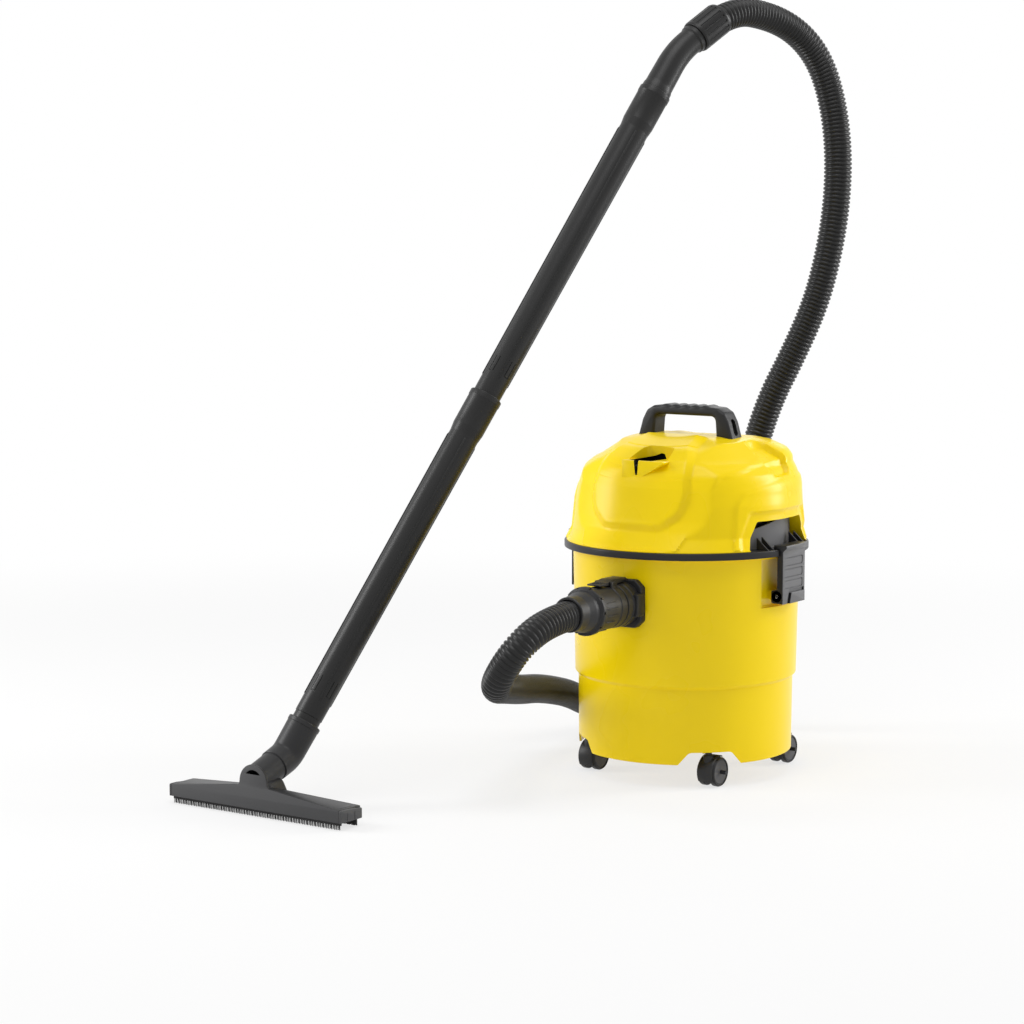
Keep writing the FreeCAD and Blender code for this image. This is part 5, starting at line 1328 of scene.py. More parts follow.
def painted_slot_shade(at, normal):
    """The slot's walls get black as painted shade. The plate's own faces and the bed stay yellow.
    """
    on_top = abs(normal.z) > 0.9 and abs(at.z - PLATE_TOP_Z) < 0.4
    if on_top or abs(at.y - BED_BACK_Y) < 0.3 or abs(at.y - PLATE_FRONT_Y) < 1.2:
        return False
    in_head = -14.5 < at.x < 19.5 and PLATE_FRONT_Y + 3 < at.y < -61 and 397.5 < at.z < 412.5
    if in_head and (at.z < PLATE_TOP_Z or at.y > BED_BACK_Y):
        return True
    in_stem = -5.5 < at.x < 2.6 and PLATE_FRONT_Y < at.y < -91 and 386 < at.z < PLATE_TOP_Z
    return in_stem and abs(normal.y) < 0.5


# The slot's walls are yellow cover plastic; the black given to them is painted shade.
second_finish(cover, RING_BLACK, painted_slot_shade)

# %% [markdown]
# ## Carry handle
# The handle is a black bridge over the head. Its grip has five finger bumps on top, its legs spread
# towards the feet, and each leg has a slot in its outer side. The outline is drawn from the front,
# extruded, and its long edges are rounded so that it is pleasant to hold.

# %% The handle
HANDLE_TOP_Z, HANDLE_GRIP, HANDLE_Y, HANDLE_HALF_DEPTH = 467.5, 13.5, 7.5, 14.5
HANDLE_LOW_Z, GRIP_HALF = 419.5, 36
HANDLE_BUMPS, BUMP_SAG, BUMP_STEPS = 5, 2.0, 8


def handle_outline():
    """The handle from the front: left leg, finger bumps, right leg and the gap for the hand."""
    low_z, top = HANDLE_LOW_Z, HANDLE_TOP_Z - BUMP_SAG
    leg = [(-71.5, low_z), (-63.5, 447, 14), (-57.0, 459.0, 10), (-47.0, top - 0.6, 8)]
    left = filleted(leg + [(-GRIP_HALF, top)], steps=6)
    step = 2 * GRIP_HALF / HANDLE_BUMPS
    bumps = []
    for i in range(HANDLE_BUMPS):
        for k in range(1, BUMP_STEPS):
            rise = BUMP_SAG * math.sin(math.pi * k / BUMP_STEPS)
            bumps.append((-GRIP_HALF + step * (i + k / BUMP_STEPS), top + rise))
        bumps.append((-GRIP_HALF + step * (i + 1), top))
    right = [(-x, z) for x, z in left[:-1]][::-1]
    gap_top = HANDLE_TOP_Z - HANDLE_GRIP
    gap = [(46.5, low_z), (44.0, gap_top, 8), (-44.0, gap_top, 8), (-46.5, low_z)]
    return left + bumps + right + filleted(gap, steps=8)


handle_front_y, handle_back_y = HANDLE_Y - HANDLE_HALF_DEPTH, HANDLE_Y + HANDLE_HALF_DEPTH
handle = prism_y("carry_grip", handle_outline(), handle_front_y, handle_back_y)
softened(handle, 4.2, 4, 50)
leg_slot = [(3.0, 430, 4.5), (12.0, 430, 4.5), (12.0, 451, 4.5), (3.0, 451, 4.5)]
leg_slot = prism_x("leg slot", filleted(leg_slot, closed=True), 57.5, 85)
handle = cut(handle, *both_sides(leg_slot))
finished(
    handle, "head", HANDLE_BLACK, ["carry_handle"], angle=FITTING_SMOOTH_BELOW
)

# %% [markdown]
# ## Latches
# Each latch is a grey plate with a hooked top, dark side flanges and three finger grooves. It is
# built from prisms that are rounded and fused, and then grooved with U-shaped cutters. The left
# latch is a turned copy of the right one.

# %% One latch
LATCH_HALF, LATCH_FACE_X, LATCH_LOW_Z, LATCH_TOP_Z = 28.0, 157.0, 227.0, 300.5
LATCH_ARM_X, LATCH_ARM_LOW_Z, LATCH_LIP, LATCH_WALL = 143.6, 292.8, 5.0, 2.6
GROOVE_TOP_Z, GROOVE_PITCH, GROOVE_COUNT = 279.5, 14.2, 3


def latch_plate():
    outline = filleted(
        [
            (LATCH_FACE_X - LATCH_WALL, LATCH_LOW_Z),
            (LATCH_FACE_X, LATCH_LOW_Z, 1.0),
            (LATCH_FACE_X, 292.5, 2.5),
            (LATCH_FACE_X + LATCH_LIP, 297.3, 1.0),
            (LATCH_FACE_X + LATCH_LIP, LATCH_TOP_Z, 1.0),
            (LATCH_ARM_X, LATCH_TOP_Z, 1.5),
            (LATCH_ARM_X, LATCH_ARM_LOW_Z),
            (LATCH_FACE_X - LATCH_WALL, LATCH_ARM_LOW_Z, 2),
        ],
        closed=True,
    )
    return prism_y("plate", outline, -LATCH_HALF, LATCH_HALF)


def latch_flange(side):
    """A side flange that widens round the pivot."""
    top = LATCH_ARM_LOW_Z + 0.5
    outline = filleted(
        [
            (156, 227.6),
            (156, top),
            (148.6, top),
            (148.6, 245, 2),
            (140.3, 243.5, 3),
            (140.3, 227.6, 3.5),
        ],
        closed=True,
    )
    outer_y = LATCH_HALF * side
    return prism_y("flange", outline, outer_y, outer_y - LATCH_WALL * side)


def finger_groove(z):
    """A U lying on its side, with its closed end to the back."""
    half, w, reach = 5.6, 1.6, 21.5
    outline = filleted(
        [
            (-reach, z + half),
            (reach, z + half, 3.0),
            (reach, z - half, 3.0),
            (-reach, z - half),
            (-reach, z - half + w),
            (reach - w, z - half + w, 2.0),
            (reach - w, z + half - w, 2.0),
            (-reach, z + half - w),
        ],
        closed=True,
    )
    return prism_x("groove", outline, LATCH_FACE_X - 0.9, LATCH_FACE_X + 2)


def tab_groove():
    """The slanted recess round the tab at the latch's foot."""
    corners = [(-18, 226), (-12, 244.5, 2.5), (25, 244.5), (25, 240.5), (-8.5, 240.5, 2)]
    outline = filleted(corners + [(-12.5, 226)], closed=True)
    return prism_x("tab groove", outline, LATCH_FACE_X - 1.8, LATCH_FACE_X + 2)


def tab():
    """The raised tab inside that recess, where the fingers pull."""
    corners = [(-12.5, 227), (-8.5, 240.5, 2), (25, 240.5, 0.6), (25, 227, 0.6)]
    block = prism_x("tab", filleted(corners, closed=True), LATCH_FACE_X - 1, LATCH_FACE_X + 1.8)
    return softened(block, 0.7, 2)


def pin_knob(side):
    """The end of the pin, just proud of the flange."""
    start = (PIVOT_X, side * (LATCH_HALF - 0.5), PIVOT_Z)
    return rod("knob", start, BACK * side, 1.3, 0.9, 24)


def pin_eye(side):
    """The sleeve that turns on the pin, inside a flange."""
    start = (PIVOT_X, min(side * LATCH_HALF, side * 18.4), PIVOT_Z)
    return rod("eye", start, BACK, 7.6, 9.6, 40)


def is_latch_flank(at, normal):
    return abs(normal.y) > 0.8 or abs(at.x) < LATCH_FACE_X - LATCH_WALL - 0.1


flanges = [softened(latch_flange(side), 0.5, 1, 60) for side in (1, -1)]
latch = fused(softened(latch_plate(), 0.8, 2, 60), *flanges)
grooves = [finger_groove(GROOVE_TOP_Z - GROOVE_PITCH * i) for i in range(GROOVE_COUNT)]
latch = cut(latch, *grooves, tab_groove())
knobs = [pin_knob(side) for side in (-1, 1)]
eyes = [pin_eye(side) for side in (-1, 1)]
small_parts = [softened(knob, 0.3) for knob in knobs] + [softened(eye, 0.4) for eye in eyes]
latch = joined([latch, tab()] + small_parts)
latch_left = swivelled(twin(latch, "latch_plate_left"), 180)
latch.name = latch.data.name = "latch_plate_right"
for piece, body, node in ((latch, "latch_r", "latch_right"), (latch_left, "latch_l", "latch_left")):
    finished(piece, body, LATCH_GREY, [node])
    second_finish(piece, RING_BLACK, is_latch_flank)

# %% [markdown]
# ## Inlet and hose connector
# A flange on the tub takes a bayonet connector: a ribbed sleeve, a notched collar and a tapered
# neck that the hose is glued into. A release lever lies on top. The round pieces are turned lying
# along the hose's last run, and the ribs and notches are added to them.

# %% The inlet flange
SOCKET_R, SPIGOT_R, INLET_BORE_R = 27.8, INLET_HOLE_R, 18.6


def flange_outline():
    corners = [
        (-27, 21), (-18, 30), (18, 30), (27, 21), (27, -21), (18, -30), (-18, -30), (-27, -21)
    ]
    return filleted([(x, INLET_Z + z, 5) for x, z in corners], closed=True)


def fitting(obj, body, node):
    """Hands over one of the black fittings of the hose and the wand."""
    finished(obj, body, FITTING_BLACK, [node], angle=FITTING_SMOOTH_BELOW)


def tub_side():
    """The tub's outer form, to fit a flange to it."""
    return turned("tub side", [(0, 190), (142.2, 190), (143.3, 275), (0, 275)], TUB_SEGMENTS)


flange = softened(prism_y("inlet_flange_plate", flange_outline(), -150, -125), 1.6, 3, 50)
socket = [
    (SPIGOT_R, 0), (SOCKET_R - 1, 0), (SOCKET_R - 1, 6), (SOCKET_R, 7), (SOCKET_R, 15),
    (SOCKET_R - 1.2, 16), (SOCKET_R - 1.2, 18), (SOCKET_R, 19), (SOCKET_R, 27.2),
    (SOCKET_R - 0.8, 28), (SPIGOT_R, 28)
]
socket = aimed(turned("socket", socket, 64, closed=True), (0, -150, INLET_Z), FRONT)
lug = filleted([(16, 217, 3), (30, 217, 3), (30, 245, 3), (16, 245, 3)], closed=True)
lug = prism_y("lug", lug, -163, -146)
flange = cut(fused(flange, softened(lug, 1.2, 2)), tub_side())
flange = fused(flange, socket)
pipe = [(INLET_BORE_R, 0), (SPIGOT_R, 0), (SPIGOT_R, 49), (INLET_BORE_R, 49)]
pipe = aimed(turned("pipe", pipe, 64, closed=True), (0, -129, INLET_Z), FRONT)
flange = cut(flange, rod("bore", (0, -120, INLET_Z), FRONT, SPIGOT_R - 0.05, 80, 64))
fitting(joined([flange, pipe]), "base", "inlet_flange")

# %% The connector's sleeve, collar and neck
SLEEVE_R, SLEEVE_Y, SLEEVE_END_Y = 27.2, -179.0, -229.0
SLEEVE_RIB_LENGTH, SLEEVE_RIBS = 24.0, (66, 84, 102, 120, 156, 204, 240, 258, 276, 294)
COLLAR_NOTCHES = 10
COLLAR_R, NECK_BASE_R, NECK_R, NECK_END = 30.0, 25.8, 21.6, 92.0


def connector_profile():
    return filleted(
        [
            (INLET_BORE_R - 0.2, -15),
            (INLET_BORE_R - 0.2, 0),
            (SLEEVE_R - 0.8, 0),
            (SLEEVE_R, 1.0),
            (SLEEVE_R, 12),
            (SLEEVE_R - 0.9, 13),
            (SLEEVE_R - 0.9, 15),
            (SLEEVE_R, 16),
            (SLEEVE_R, 49.4),
            (COLLAR_R, 50.2, 1.0),
            (COLLAR_R, 58, 1.5),
            (NECK_BASE_R, 59, 1),
            (NECK_BASE_R - 1.0, 66, 12),
            (NECK_R, 76, 8),
            (NECK_R, 90.8),
            (NECK_R - 1.0, NECK_END),
            (HOSE_R + 0.3, NECK_END),
            (HOSE_R + 0.3, 53),
            (HOSE_BORE_R, 53),
            (HOSE_BORE_R, -15),
        ],
        closed=True,
    )


def sleeve_rib(angle):
    """A thin rib along the sleeve, at an angle from the top."""
    start_y, top = SLEEVE_END_Y + 1, INLET_Z + SLEEVE_R
    rib = slab("rib", -0.8, 0.8, start_y, start_y + SLEEVE_RIB_LENGTH, top - 0.5, top + 1.0)
    return swivelled(softened(rib, 0.35, 1), angle, (0, 0, INLET_Z), "Y")


def collar_notch(angle):
    top = INLET_Z + COLLAR_R
    notch = slab("notch", -1.6, 1.6, SLEEVE_END_Y - 9, SLEEVE_END_Y - 4.5, top - 1.4, top + 2)
    return swivelled(notch, angle, (0, 0, INLET_Z), "Y")


def lever_ear(x):
    """One of the two ears that hold the lever's pin."""
    return softened(slab("ear", x, x + 3, -194, -182, INLET_Z + 19.2, INLET_Z + 32.2), 1.0)


connector = turned("hose_connector_body", connector_profile(), 72, closed=True)
connector = aimed(connector, (0, SLEEVE_Y, INLET_Z), FRONT)
notch_step = 360 // COLLAR_NOTCHES
notches = [collar_notch(notch_step / 2 + notch_step * i) for i in range(COLLAR_NOTCHES)]
connector = cut(connector, *notches)
sleeve_top = INLET_Z + SLEEVE_R
lever_slot = slab("lever slot", -9.5, 9.5, -217, -178, sleeve_top - 3.5, sleeve_top + 20)
connector = cut(connector, lever_slot)
ears = [lever_ear(x) for x in (-12.5, 9.5)]
connector = joined([connector] + ears + [sleeve_rib(angle) for angle in SLEEVE_RIBS])
fitting(connector, "base", "hose_connector")

# %% The release lever


def lever_outline():
    low = INLET_Z + SLEEVE_R + 0.8
    return filleted(
        [
            (-216, low + 0.6, 0.6),
            (-216, low + 2.6, 0.8),
            (-196, low + 3.6, 12),
            (-186, low + 6.0, 8),
            (-158, low + 6.0, 3),
            (-152, low + 3.0, 1),
            (-152, low + 1.6, 0.5),
            (-158, low + 1.6, 2),
            (-188, low - 1.2, 6),
            (-196, low - 0.6, 4),
        ],
        closed=True,
    )


lever = softened(prism_x("release_lever_arm", lever_outline(), -9, 9), 0.9, 2, 50)
for grip_y in (-209, -205.5, -202):
    grip = slab("grip", -6.5, 6.5, grip_y - 0.5, grip_y + 0.5, sleeve_top + 2.5, sleeve_top + 4.7)
    lever = joined([lever, softened(grip, 0.3, 1)])
fitting(lever, "lever", "connector_lever")

# %% [markdown]
# ## Cuff, bend and tubes
# The cuff is a short fluted sleeve that turns on the bend. The bend and the elbow are smooth, so
# they are rings along an arc. The two tubes are one shape used twice: a plug, a body that widens a
# little towards its socket, and long ribs that stiffen it.

# %% The cuff
BEND_R, BEND_BORE_R, CUFF_R = 17.2, 14.2, 21.3
CUFF_PLAY, HOSE_PLAY, CUFF_FLUTES = 0.08, 0.3, 18
CUFF_OVERLAP = 11.0


def cuff_profile():
    room, bore = HOSE_R + HOSE_PLAY, BEND_R + CUFF_PLAY
    return filleted(
        [
            (bore, 0),
            (CUFF_R - 0.8, 0, 0.5),
            (CUFF_R, 2.5, 0.8),
            (CUFF_R, 43, 0.8),
            (CUFF_R - 0.8, CUFF_LENGTH, 0.5),
            (room, CUFF_LENGTH),
            (room, CUFF_OVERLAP),
            (bore, CUFF_OVERLAP),
        ],
        closed=True,
    )


cuff = turned("fluted_cuff", cuff_profile(), 72, closed=True)
flutes = [
    swivelled(rod("flute", (CUFF_R + 0.5, 0, 5), UP, 1.6, 36, 12), 360 / CUFF_FLUTES * i)
    for i in range(CUFF_FLUTES)
]
cuff = aimed(cut(cuff, *flutes), CUFF_START, CUFF)
finished(cuff, "base", HOSE_BLACK, ["hose_cuff"], angle=FITTING_SMOOTH_BELOW)

# %% The bend between the tubes and the cuff
TUBE_PLUG_R = 16.9
PIPE_STEPS, PIPE_AROUND = 24, 56


def arc_line(start, corner, way_in, way_out, arc, end, steps=16):
    """Points of a run, an arc round a corner and a second run, in tub millimetres."""
    leg = arc * math.tan(way_in.angle(way_out) / 2)
    side = (way_out - way_in * way_in.dot(way_out)).normalized()
    centre = corner - way_in * leg + side * arc
    turns = [way_in.angle(way_out) * i / steps for i in range(steps + 1)]
    curve = [centre - side * arc * math.cos(t) + way_in * arc * math.sin(t) for t in turns]
    return [start] + curve + [end]


def bent_pipe(name, points, marks, bore):
    """A pipe along tub-millimetre points: (distance, radius) marks outside, an even bore inside."""
    line = [p * MM for p in points]
    rings = [(d * MM, r * MM) for d, r in marks]
    length = rings[-1][0]
    inner = [(length * (PIPE_STEPS - i) / PIPE_STEPS, bore * MM) for i in range(PIPE_STEPS + 1)]
    return ringed_tube(name, line, rings + inner, PIPE_AROUND)


bend_start, bend_end = WAND_TOP - WAND * TUBE_PLUG, CUFF_START + CUFF * CUFF_OVERLAP
bend_points = arc_line(bend_start, BEND_CORNER, WAND, CUFF, BEND_ARC, bend_end)
bend_run = Line(bend_points).length
collar_at = bend_run - CUFF_OVERLAP
bend_marks = [
    (0, TUBE_PLUG_R), (TUBE_PLUG - 0.1, TUBE_PLUG_R), (TUBE_PLUG, 19.4), (TUBE_PLUG + 6, 19.4),
    (TUBE_PLUG + 9, 18.4)
]
for i in range(1, PIPE_STEPS + 1):
    along = TUBE_PLUG + 9 + (collar_at - TUBE_PLUG - 22) * i / PIPE_STEPS
    bend_marks.append((along, 18.4 - 1.2 * i / PIPE_STEPS))
bend_marks += [
    (collar_at - 8, BEND_R), (collar_at - 6, 18.8), (collar_at - 0.6, 18.8),
    (collar_at - 0.5, BEND_R), (bend_run, BEND_R)
]
bend = bent_pipe("suction_bend_pipe", bend_points, bend_marks, BEND_BORE_R)
finished(bend, "wand", TUBE_BLACK, ["suction_bend"], angle=FITTING_SMOOTH_BELOW)

# %% The tubes
TUBE_BORE_R, TUBE_LOW_R, TUBE_HIGH_R, TUBE_SOCKET_R = 14.8, 17.7, 18.9, 20.9
PLUG_PLAY = 0.15


def tube_profile():
    return filleted(
        [
            (TUBE_BORE_R, 0),
            (TUBE_PLUG_R, 0, 0.6),
            (TUBE_PLUG_R, TUBE_PLUG),
            (TUBE_LOW_R, TUBE_PLUG + 0.5, 0.4),
            (TUBE_HIGH_R, 436, 10),
            (TUBE_SOCKET_R - 0.6, 447, 6),
            (TUBE_SOCKET_R - 0.6, 486),
            (TUBE_SOCKET_R, 487.0, 0.4),
            (TUBE_SOCKET_R, TUBE_LENGTH, 0.8),
            (TUBE_PLUG_R + PLUG_PLAY, TUBE_LENGTH),
            (TUBE_PLUG_R + PLUG_PLAY, TUBE_LENGTH - TUBE_PLUG),
            (TUBE_BORE_R, TUBE_LENGTH - TUBE_PLUG - 1.5),
        ],
        closed=True,
    )


def tube_rib(angle):
    """A long low rib that follows the tube's widening."""
    low, high = TUBE_LOW_R, TUBE_HIGH_R
    outline = [(low - 1, 62), (low + 0.9, 65), (high + 0.9, 428), (high - 1, 434)]
    rib = prism_y("rib", outline, -1.2, 1.2)
    return swivelled(softened(rib, 0.5, 2), angle)


def tube_mark(angle):
    """A short U-shaped groove near the plug, where the mould was vented."""
    outer = [(-3.4, 70, 0.8), (3.4, 70, 0.8), (3.4, 92, 0.8)]
    inner = [(2.4, 92), (2.4, 71.2), (-2.4, 71.2), (-2.4, 92)]
    outline = filleted(outer + inner + [(-3.4, 92)], closed=True)
    return swivelled(prism_y("mark", outline, -TUBE_LOW_R - 2, -TUBE_LOW_R + 0.7), angle)


tube = turned("tube", tube_profile(), 64, closed=True)
tube = cut(tube, *[tube_mark(angle) for angle in (0, 72, 144, 216, 288)])
tube = joined([tube] + [tube_rib(angle) for angle in (45, 135, 225, 315)])
upper = twin(tube, "upper_tube_body")
tube.name = tube.data.name = "lower_tube_body"
for piece, start, node in ((tube, LOWER_TUBE, "lower_tube"), (upper, UPPER_TUBE, "upper_tube")):
    finished(aimed(piece, start, WAND), "wand", TUBE_BLACK, [node])

# %% [markdown]
# ## Floor nozzle
# The nozzle is a long low hood, highest in the middle, where a round front swells over the neck.
# Its front is one grained plate, its ends are separate caps, and bristles and a rubber lip hang
# below. The elbow's sleeve takes the tube and turns on the neck.

# %% The elbow
NOZZLE_X, NOZZLE_FRONT_Y, NOZZLE_DEPTH, HUMP_Z, HUMP_R = -267.0, -540.0, 40.0, 42.0, 21.0
ELBOW_LEG, ELBOW_ARC, NECK_LENGTH = 45.8, 24.0, 40.0
ELBOW_POINT = WAND_START - WAND * ELBOW_LEG
NECK_START = Vector((ELBOW_POINT.x, NOZZLE_FRONT_Y, HUMP_Z))
NECK = (ELBOW_POINT - NECK_START).normalized()
NECK_R_OUT, NECK_BORE_R, ELBOW_R, ELBOW_RINGS = 18.0, 14.5, 19.6, 30

neck_end = NECK_START + NECK * NECK_LENGTH
elbow_points = arc_line(neck_end, ELBOW_POINT, NECK, WAND, ELBOW_ARC, WAND_START)
elbow_run = Line(elbow_points).length
elbow_marks = [(0, ELBOW_R - 1.0), (0.8, ELBOW_R - 0.2)]
for i in range(ELBOW_RINGS + 1):
    along = 2 + (elbow_run - 8) * i / ELBOW_RINGS
    elbow_marks.append((along, ELBOW_R - 0.2 + 0.7 * i / ELBOW_RINGS))
elbow_marks += [
    (elbow_run - 5.5, ELBOW_R + 1.1), (elbow_run - 1, ELBOW_R + 1.1), (elbow_run, ELBOW_R + 0.3)
]
elbow = bent_pipe("nozzle_elbow_sleeve", elbow_points, elbow_marks, TUBE_PLUG_R + PLUG_PLAY)
fitting(elbow, "wand", "nozzle_elbow")

# %% The nozzle's hood
NOZZLE_LOW_Z, NOZZLE_END_Z, NOZZLE_MID_Z, NOZZLE_HALF = 9.0, 24.0, 37.0, 129.5
NOZZLE_BACK_Y = NOZZLE_FRONT_Y + NOZZLE_DEPTH
HOOD_WALL, HOOD_BACK_WALL = 2.6, 2.5


def gable(half, low, inset=0.0):
    """The nozzle from the front, higher in the middle."""
    x, top, end = NOZZLE_X, NOZZLE_MID_Z - inset, NOZZLE_END_Z - inset
    left = [(x - half, low), (x - half, end, 2), (x - HUMP_R, top, 14)]
    return left + [(x + HUMP_R, top, 14), (x + half, end, 2), (x + half, low)]


def front_plate_outline():
    """The gable with the round swelling over the neck."""
    x = NECK_START.x
    turns = [math.radians(180 - 180 * i / 20) for i in range(21)]
    hump = [(x + HUMP_R * math.cos(t), HUMP_Z + HUMP_R * math.sin(t)) for t in turns]
    x0, x1, foot_z = NOZZLE_X - NOZZLE_HALF, NOZZLE_X + NOZZLE_HALF, NOZZLE_MID_Z - 0.6
    left = [(x0, NOZZLE_LOW_Z), (x0, NOZZLE_END_Z, 2), (x - HUMP_R - 1, foot_z, 16), hump[1]]
    right = [hump[-2], (x + HUMP_R + 1, foot_z, 16), (x1, NOZZLE_END_Z, 2), (x1, NOZZLE_LOW_Z)]
    return filleted(left, steps=6) + hump[2:-2] + filleted(right, steps=6)


def rear_wedge(inset=0.0):
    """What is cut off the top so that it falls towards the back."""
    y0, y1 = NOZZLE_FRONT_Y + 10, NOZZLE_BACK_Y + 1
    outline = [(y0, NOZZLE_MID_Z - inset), (y1, 23 - inset), (y1, 90), (y0, 90)]
    return prism_x("wedge", outline, NOZZLE_X - 200, NOZZLE_X + 200)


def on_front_plate(at, normal):
    return at.y < NOZZLE_FRONT_Y + 1.0 and normal.y < -0.5


hood = filleted(gable(NOZZLE_HALF, NOZZLE_LOW_Z), steps=6)
hood = prism_y("nozzle_hood", hood, NOZZLE_FRONT_Y + 1, NOZZLE_BACK_Y)
hood = cut(hood, rear_wedge())
hood = softened(hood, 1.6, 3, 45)
plate = prism_y("plate", front_plate_outline(), NOZZLE_FRONT_Y, NOZZLE_FRONT_Y + 3.2)
plate = softened(plate, 0.9, 2, 50)
neck = rod("neck", NECK_START - NECK * 20, NECK, NECK_R_OUT, 72, 56)
front = (NOZZLE_X - 60, NOZZLE_X + 60, NOZZLE_FRONT_Y - 60, NOZZLE_FRONT_Y + 1, 0, 120)
neck = cut(neck, slab("front", *front))
mid = NECK_START.x
saddle = [(mid - 34, 17), (mid - 19, 44, 10), (mid + 19, 44, 10), (mid + 34, 17)]
saddle = prism_y("saddle", filleted(saddle, steps=6), NOZZLE_FRONT_Y + 2, NOZZLE_BACK_Y - 6)
for addition in (plate, softened(saddle, 5, 4, 50), neck):
    hood = fused(hood, addition)
hollow = [p[:2] for p in gable(NOZZLE_HALF + 1, 0, HOOD_WALL)]
hollow = prism_y("hollow", hollow, NOZZLE_FRONT_Y + 3.3, NOZZLE_BACK_Y - HOOD_BACK_WALL)
hood = cut(hood, cut(hollow, rear_wedge(HOOD_WALL)))
airway = rod("airway", NECK_START + Vector((0, 3.1, 0.2)), NECK, NECK_BORE_R, 90, 48)
drop = (mid - 12, mid + 12, NOZZLE_FRONT_Y + 4.5, NOZZLE_BACK_Y - 9, 0, HUMP_Z - 6)
hood = cut(hood, fused(airway, slab("drop", *drop)))
finished(
    hood, "nozzle", FITTING_BLACK, ["nozzle_housing"], angle=FITTING_SMOOTH_BELOW
)
second_finish(hood, NOZZLE_GREY, on_front_plate)

# %% The end caps
CAP_WIDTH = 3.0


def end_cap(side, name):
    """The cap that closes one end, with a low clip on its top and two upright ribs on its end."""
    ends = (NOZZLE_X + side * NOZZLE_HALF, NOZZLE_X + side * (NOZZLE_HALF + CAP_WIDTH))
    x0, x1 = sorted(ends)
    front, back = NOZZLE_FRONT_Y, NOZZLE_BACK_Y
    top = [(front, NOZZLE_END_Z, 2), (front + 12, NOZZLE_END_Z, 3), (back, 21.5, 2)]
    outline = filleted([(front, NOZZLE_LOW_Z)] + top + [(back, NOZZLE_LOW_Z)])
    cap = softened(prism_x(name, outline, x0, x1), 0.8, 2, 50)
    clip_x = NOZZLE_X + side * (NOZZLE_HALF - 9)
    clip = slab("clip", clip_x - 5, clip_x + 5, front + 9, front + 28, 22.3, 25.0)
    ribs = [
        softened(slab("rib", x0 - 0.5, x1 + 0.5, y, y + 1.2, NOZZLE_LOW_Z + 1, 20), 0.3, 1)
        for y in (front + 12, front + 26)
    ]
    return joined([cap, softened(clip, 0.8, 2)] + ribs)


for side, word in ((-1, "left"), (1, "right")):
    finished(
        end_cap(side, word + "_end_cap"), "nozzle", NOZZLE_GREY, ["nozzle_cap_" + word],
        angle=FITTING_SMOOTH_BELOW
    )

# %% Bristles in tufts, and the rubber lip
TUFT_PITCH, TUFT_COUNT, TUFT_HEIGHT = 4.0, 64, 14.0
HAIR_SPREAD = (-1.5, -0.75, 0.0, 0.75, 1.5)
LIP_THICKNESS = 2.4


def tuft(name, lean):
    """Five stiff hairs that spread a little from one root."""
    hairs = []
    for i, spread in enumerate(HAIR_SPREAD):
        top = Vector((spread * 0.7, (i % 2 - 0.5) * 1.4, TUFT_HEIGHT))
        tip = Vector((spread * (1.15 + lean), (i % 2 - 0.5) * 2.2, 0.15 + 0.2 * (i % 3)))
        length = (top - tip).length
        hair = turned(name, [(0, 0), (0.28, 0.1), (0.42, length), (0, length)], 6)
        hairs.append(aimed(hair, tip, top - tip))
    return joined(hairs)


def bristle_row():
    """Tufts of three styles in turn along a thin backing."""
    styles = [tuft("tuft a", 0.0), tuft("tuft b", 0.25), tuft("tuft c", -0.2)]
    tufts = []
    for i in range(TUFT_COUNT):
        x = NOZZLE_X + (i - (TUFT_COUNT - 1) / 2) * TUFT_PITCH
        tufts.append(moved(twin(styles[(i * 7) % 3], "tuft"), (x, NOZZLE_FRONT_Y + 4.5, 0)))
    for style in styles:
        bpy.data.objects.remove(style, do_unlink=True)
    x0, x1, y0 = NOZZLE_X - 129, NOZZLE_X + 129, NOZZLE_FRONT_Y + 3.4
    backing = slab("bristle_tufts", x0, x1, y0, y0 + 3.0, 5.5, TUFT_HEIGHT)
    return joined([softened(backing, 0.4, 1)] + tufts)


finished(bristle_row(), "nozzle", BRISTLE, ["bristle_strip"])


def scalloped_lip():
    """A rubber blade whose foot has small teeth, so that air gets under it."""
    y0 = NOZZLE_BACK_Y - HOOD_BACK_WALL - LIP_THICKNESS
    half, tooth = 127.0, 7.0
    count = round(2 * half / tooth)
    outline = [(NOZZLE_X - half, 14.0)]
    for i in range(count):
        x = NOZZLE_X - half + 2 * half * i / count
        outline += [(x, 0.0), (x + 5.0, 0.0), (x + 5.3, 1.6), (x + 6.9, 1.6)]
    outline += [(NOZZLE_X + half, 0.0), (NOZZLE_X + half, 14.0)]
    return prism_y("scalloped_lip", outline, y0, y0 + LIP_THICKNESS)


finished(scalloped_lip(), "nozzle", RUBBER, ["rubber_lip"])

# %% [markdown]
# ## Castors
# Four twin-wheel castors stand in the tub's arches. A hooded frame sits between the two wheels and
# turns on its stem. The frame and the wheel are modelled once and copied to the four places.

# %% A wheel
WHEEL_R, WHEEL_WIDTH, WHEEL_BORE_R, CASTOR_TRAIL = 18.5, 8.5, 2.56, 10.0
HOOD_WEB, HOOD_GAP, HOOD_R = 7.0, 0.5, 19.6


def wheel_profile():
    return filleted(
        [
            (WHEEL_BORE_R, 0),
            (WHEEL_R - 1.2, 0, 0.5),
            (WHEEL_R, 1.4, 0.8),
            (WHEEL_R, 6.6, 1.0),
            (WHEEL_R - 1.2, WHEEL_WIDTH, 0.6),
            (WHEEL_R - 2.2, WHEEL_WIDTH, 0.3),
            (WHEEL_R - 2.6, 7.6, 0.3),
            (WHEEL_R - 4.0, 7.7, 1.0),
            (4.6, 8.3, 1.0),
            (WHEEL_BORE_R, 8.3),
        ],
        closed=True,
    )


wheel = aimed(turned("wheel", wheel_profile(), 56, closed=True), (0, 0, 0), RIGHT)
print("wheel", len(wheel.data.polygons), "faces")

# %% A castor frame


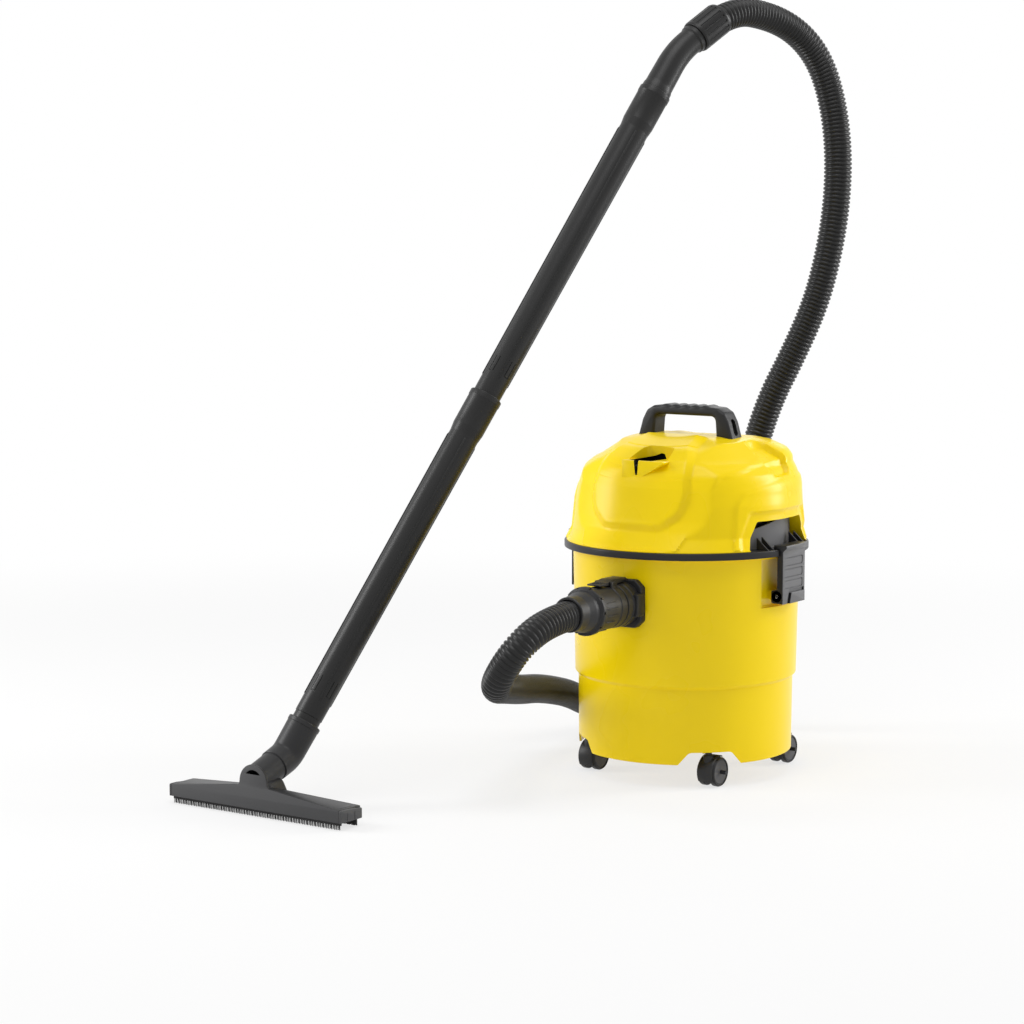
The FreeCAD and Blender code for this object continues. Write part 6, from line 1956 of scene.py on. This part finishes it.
def wheel_room(axle, half):
    """Two cups that leave room for the wheels beside the web."""
    return [
        rod("cup", axle + RIGHT * side * HOOD_WEB / 2, RIGHT * side, HOOD_R - 0.6, 2 * half, 64)
        for side in (-1, 1)
    ]


def castor_frame():
    """A hood open to the back and below, a web in its middle, and a boss with the stem."""
    axle = Vector((0, CASTOR_TRAIL, WHEEL_R))
    half = HOOD_WEB / 2 + HOOD_GAP + WHEEL_WIDTH - 2.0
    hood_shell = rod("frame", axle - RIGHT * half, RIGHT, HOOD_R + 1.2, 2 * half, 64)
    hood_shell = softened(hood_shell, 1.0, 2, 60)
    hood_shell = cut(hood_shell, *wheel_room(axle, half))
    rear = slab("rear", -40, 40, CASTOR_TRAIL + 6, CASTOR_TRAIL + 40, -5, 60)
    hood_shell = cut(hood_shell, rear)
    hood_shell = cut(hood_shell, slab("foot", -40, 40, -40, 40, -5, WHEEL_R - 11))
    web = rod("web", axle - RIGHT * HOOD_WEB / 2, RIGHT, 7.0, HOOD_WEB, 40)
    stem = [(5.7, 40.4), (4.0, 40.4), (4.0, 59.2), (3.2, 60), (0, 60)]
    boss = turned("boss", [(0, 14.5), (6.5, 14.5), (6.5, 38.6)] + stem, 40)
    boss = cut(boss, *wheel_room(axle, half))
    frame_piece = fused(fused(hood_shell, web), boss)
    return cut(frame_piece, rod("axle hole", axle - RIGHT * 20, RIGHT, 2.5, 40, 32))


castor = castor_frame()
print("castor frame", len(castor.data.polygons), "faces")

# %% Four castors with their wheels
WHEEL_FACE_REACH = 19

for name in CASTOR_ANGLES:
    place = castor_place(name)
    axle = place + Vector((0, CASTOR_TRAIL, WHEEL_R))
    hub = HOOD_WEB / 2 + HOOD_GAP
    body_frame = moved(twin(castor, "castor_frame_" + name), place)
    finished(body_frame, "castor_" + name, FITTING_BLACK, ["castor_hood_" + name])
    right_wheel = moved(twin(wheel, "right_wheel_" + name), axle + RIGHT * hub)
    left_wheel = moved(swivelled(twin(wheel, "left_wheel_" + name), 180), axle - RIGHT * hub)

    def on_wheel_face(at, normal):
        return abs(normal.x) > 0.7 and (at - axle).length < WHEEL_FACE_REACH

    for piece, side in ((right_wheel, "right"), (left_wheel, "left")):
        node = "wheel_%s_%s" % (side, name)
        finished(piece, "wheel_%s_%s" % (side[0], name), RING_BLACK, [node])
        second_finish(piece, WHEEL_GREY, on_wheel_face)
bpy.data.objects.remove(castor, do_unlink=True)
bpy.data.objects.remove(wheel, do_unlink=True)

# %% [markdown]
# ## Inside the head, and the back
# The foam sleeve is a soft piece, so it gets its own rounded form, and the rubber seal is turned
# too. Motor, fan, cage, float, pins, port and switch already have the right shapes in the CAD
# model and only need their finishes.

# %% The foam sleeve
foam_profile = [(52.4, 178.5, 2), (65.2, 178.5, 5), (66.0, 232, 90), (65.2, 286, 5), (52.4, 286, 2)]
foam = turned("foam_sleeve", filleted(foam_profile, closed=True, steps=8), 96, closed=True)
finished(foam, "head", FOAM, ["foam_filter"], angle=60)

# %% The seal under the head
seal_profile = [(137.4, 288.7, 0.8), (141.0, 288.7, 1.6), (141.0, 292.7), (137.4, 292.7)]
seal = turned("rim_seal", filleted(seal_profile, closed=True), 128, closed=True)
finished(seal, "head", RUBBER, ["head_seal"])

# %% Finishes for the CAD pieces that stay
CAD_FINISHES = {
    STEEL: ["motor", "latch_pin_right", "latch_pin_left", "lever_pin", "switch_pin"]
    + ["castor_axle_" + place for place in CASTOR_ANGLES],
    ALLOY: ["fan"],
    RING_BLACK: [
        "motor_cover", "fan_housing", "filter_cage", "blower_port", "inlet_nut", "switch_frame"
    ],
    HANDLE_BLACK: ["switch_rocker"],
    RUBBER: ["cord_gland"],
    FLOAT_WHITE: ["float_ball"],
}
for finish, names in CAD_FINISHES.items():
    for name in names:
        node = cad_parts[name]
        node.data.materials.clear()
        node.data.materials.append(finish)
print(sum(len(names) for names in CAD_FINISHES.values()), "CAD pieces have a finish")
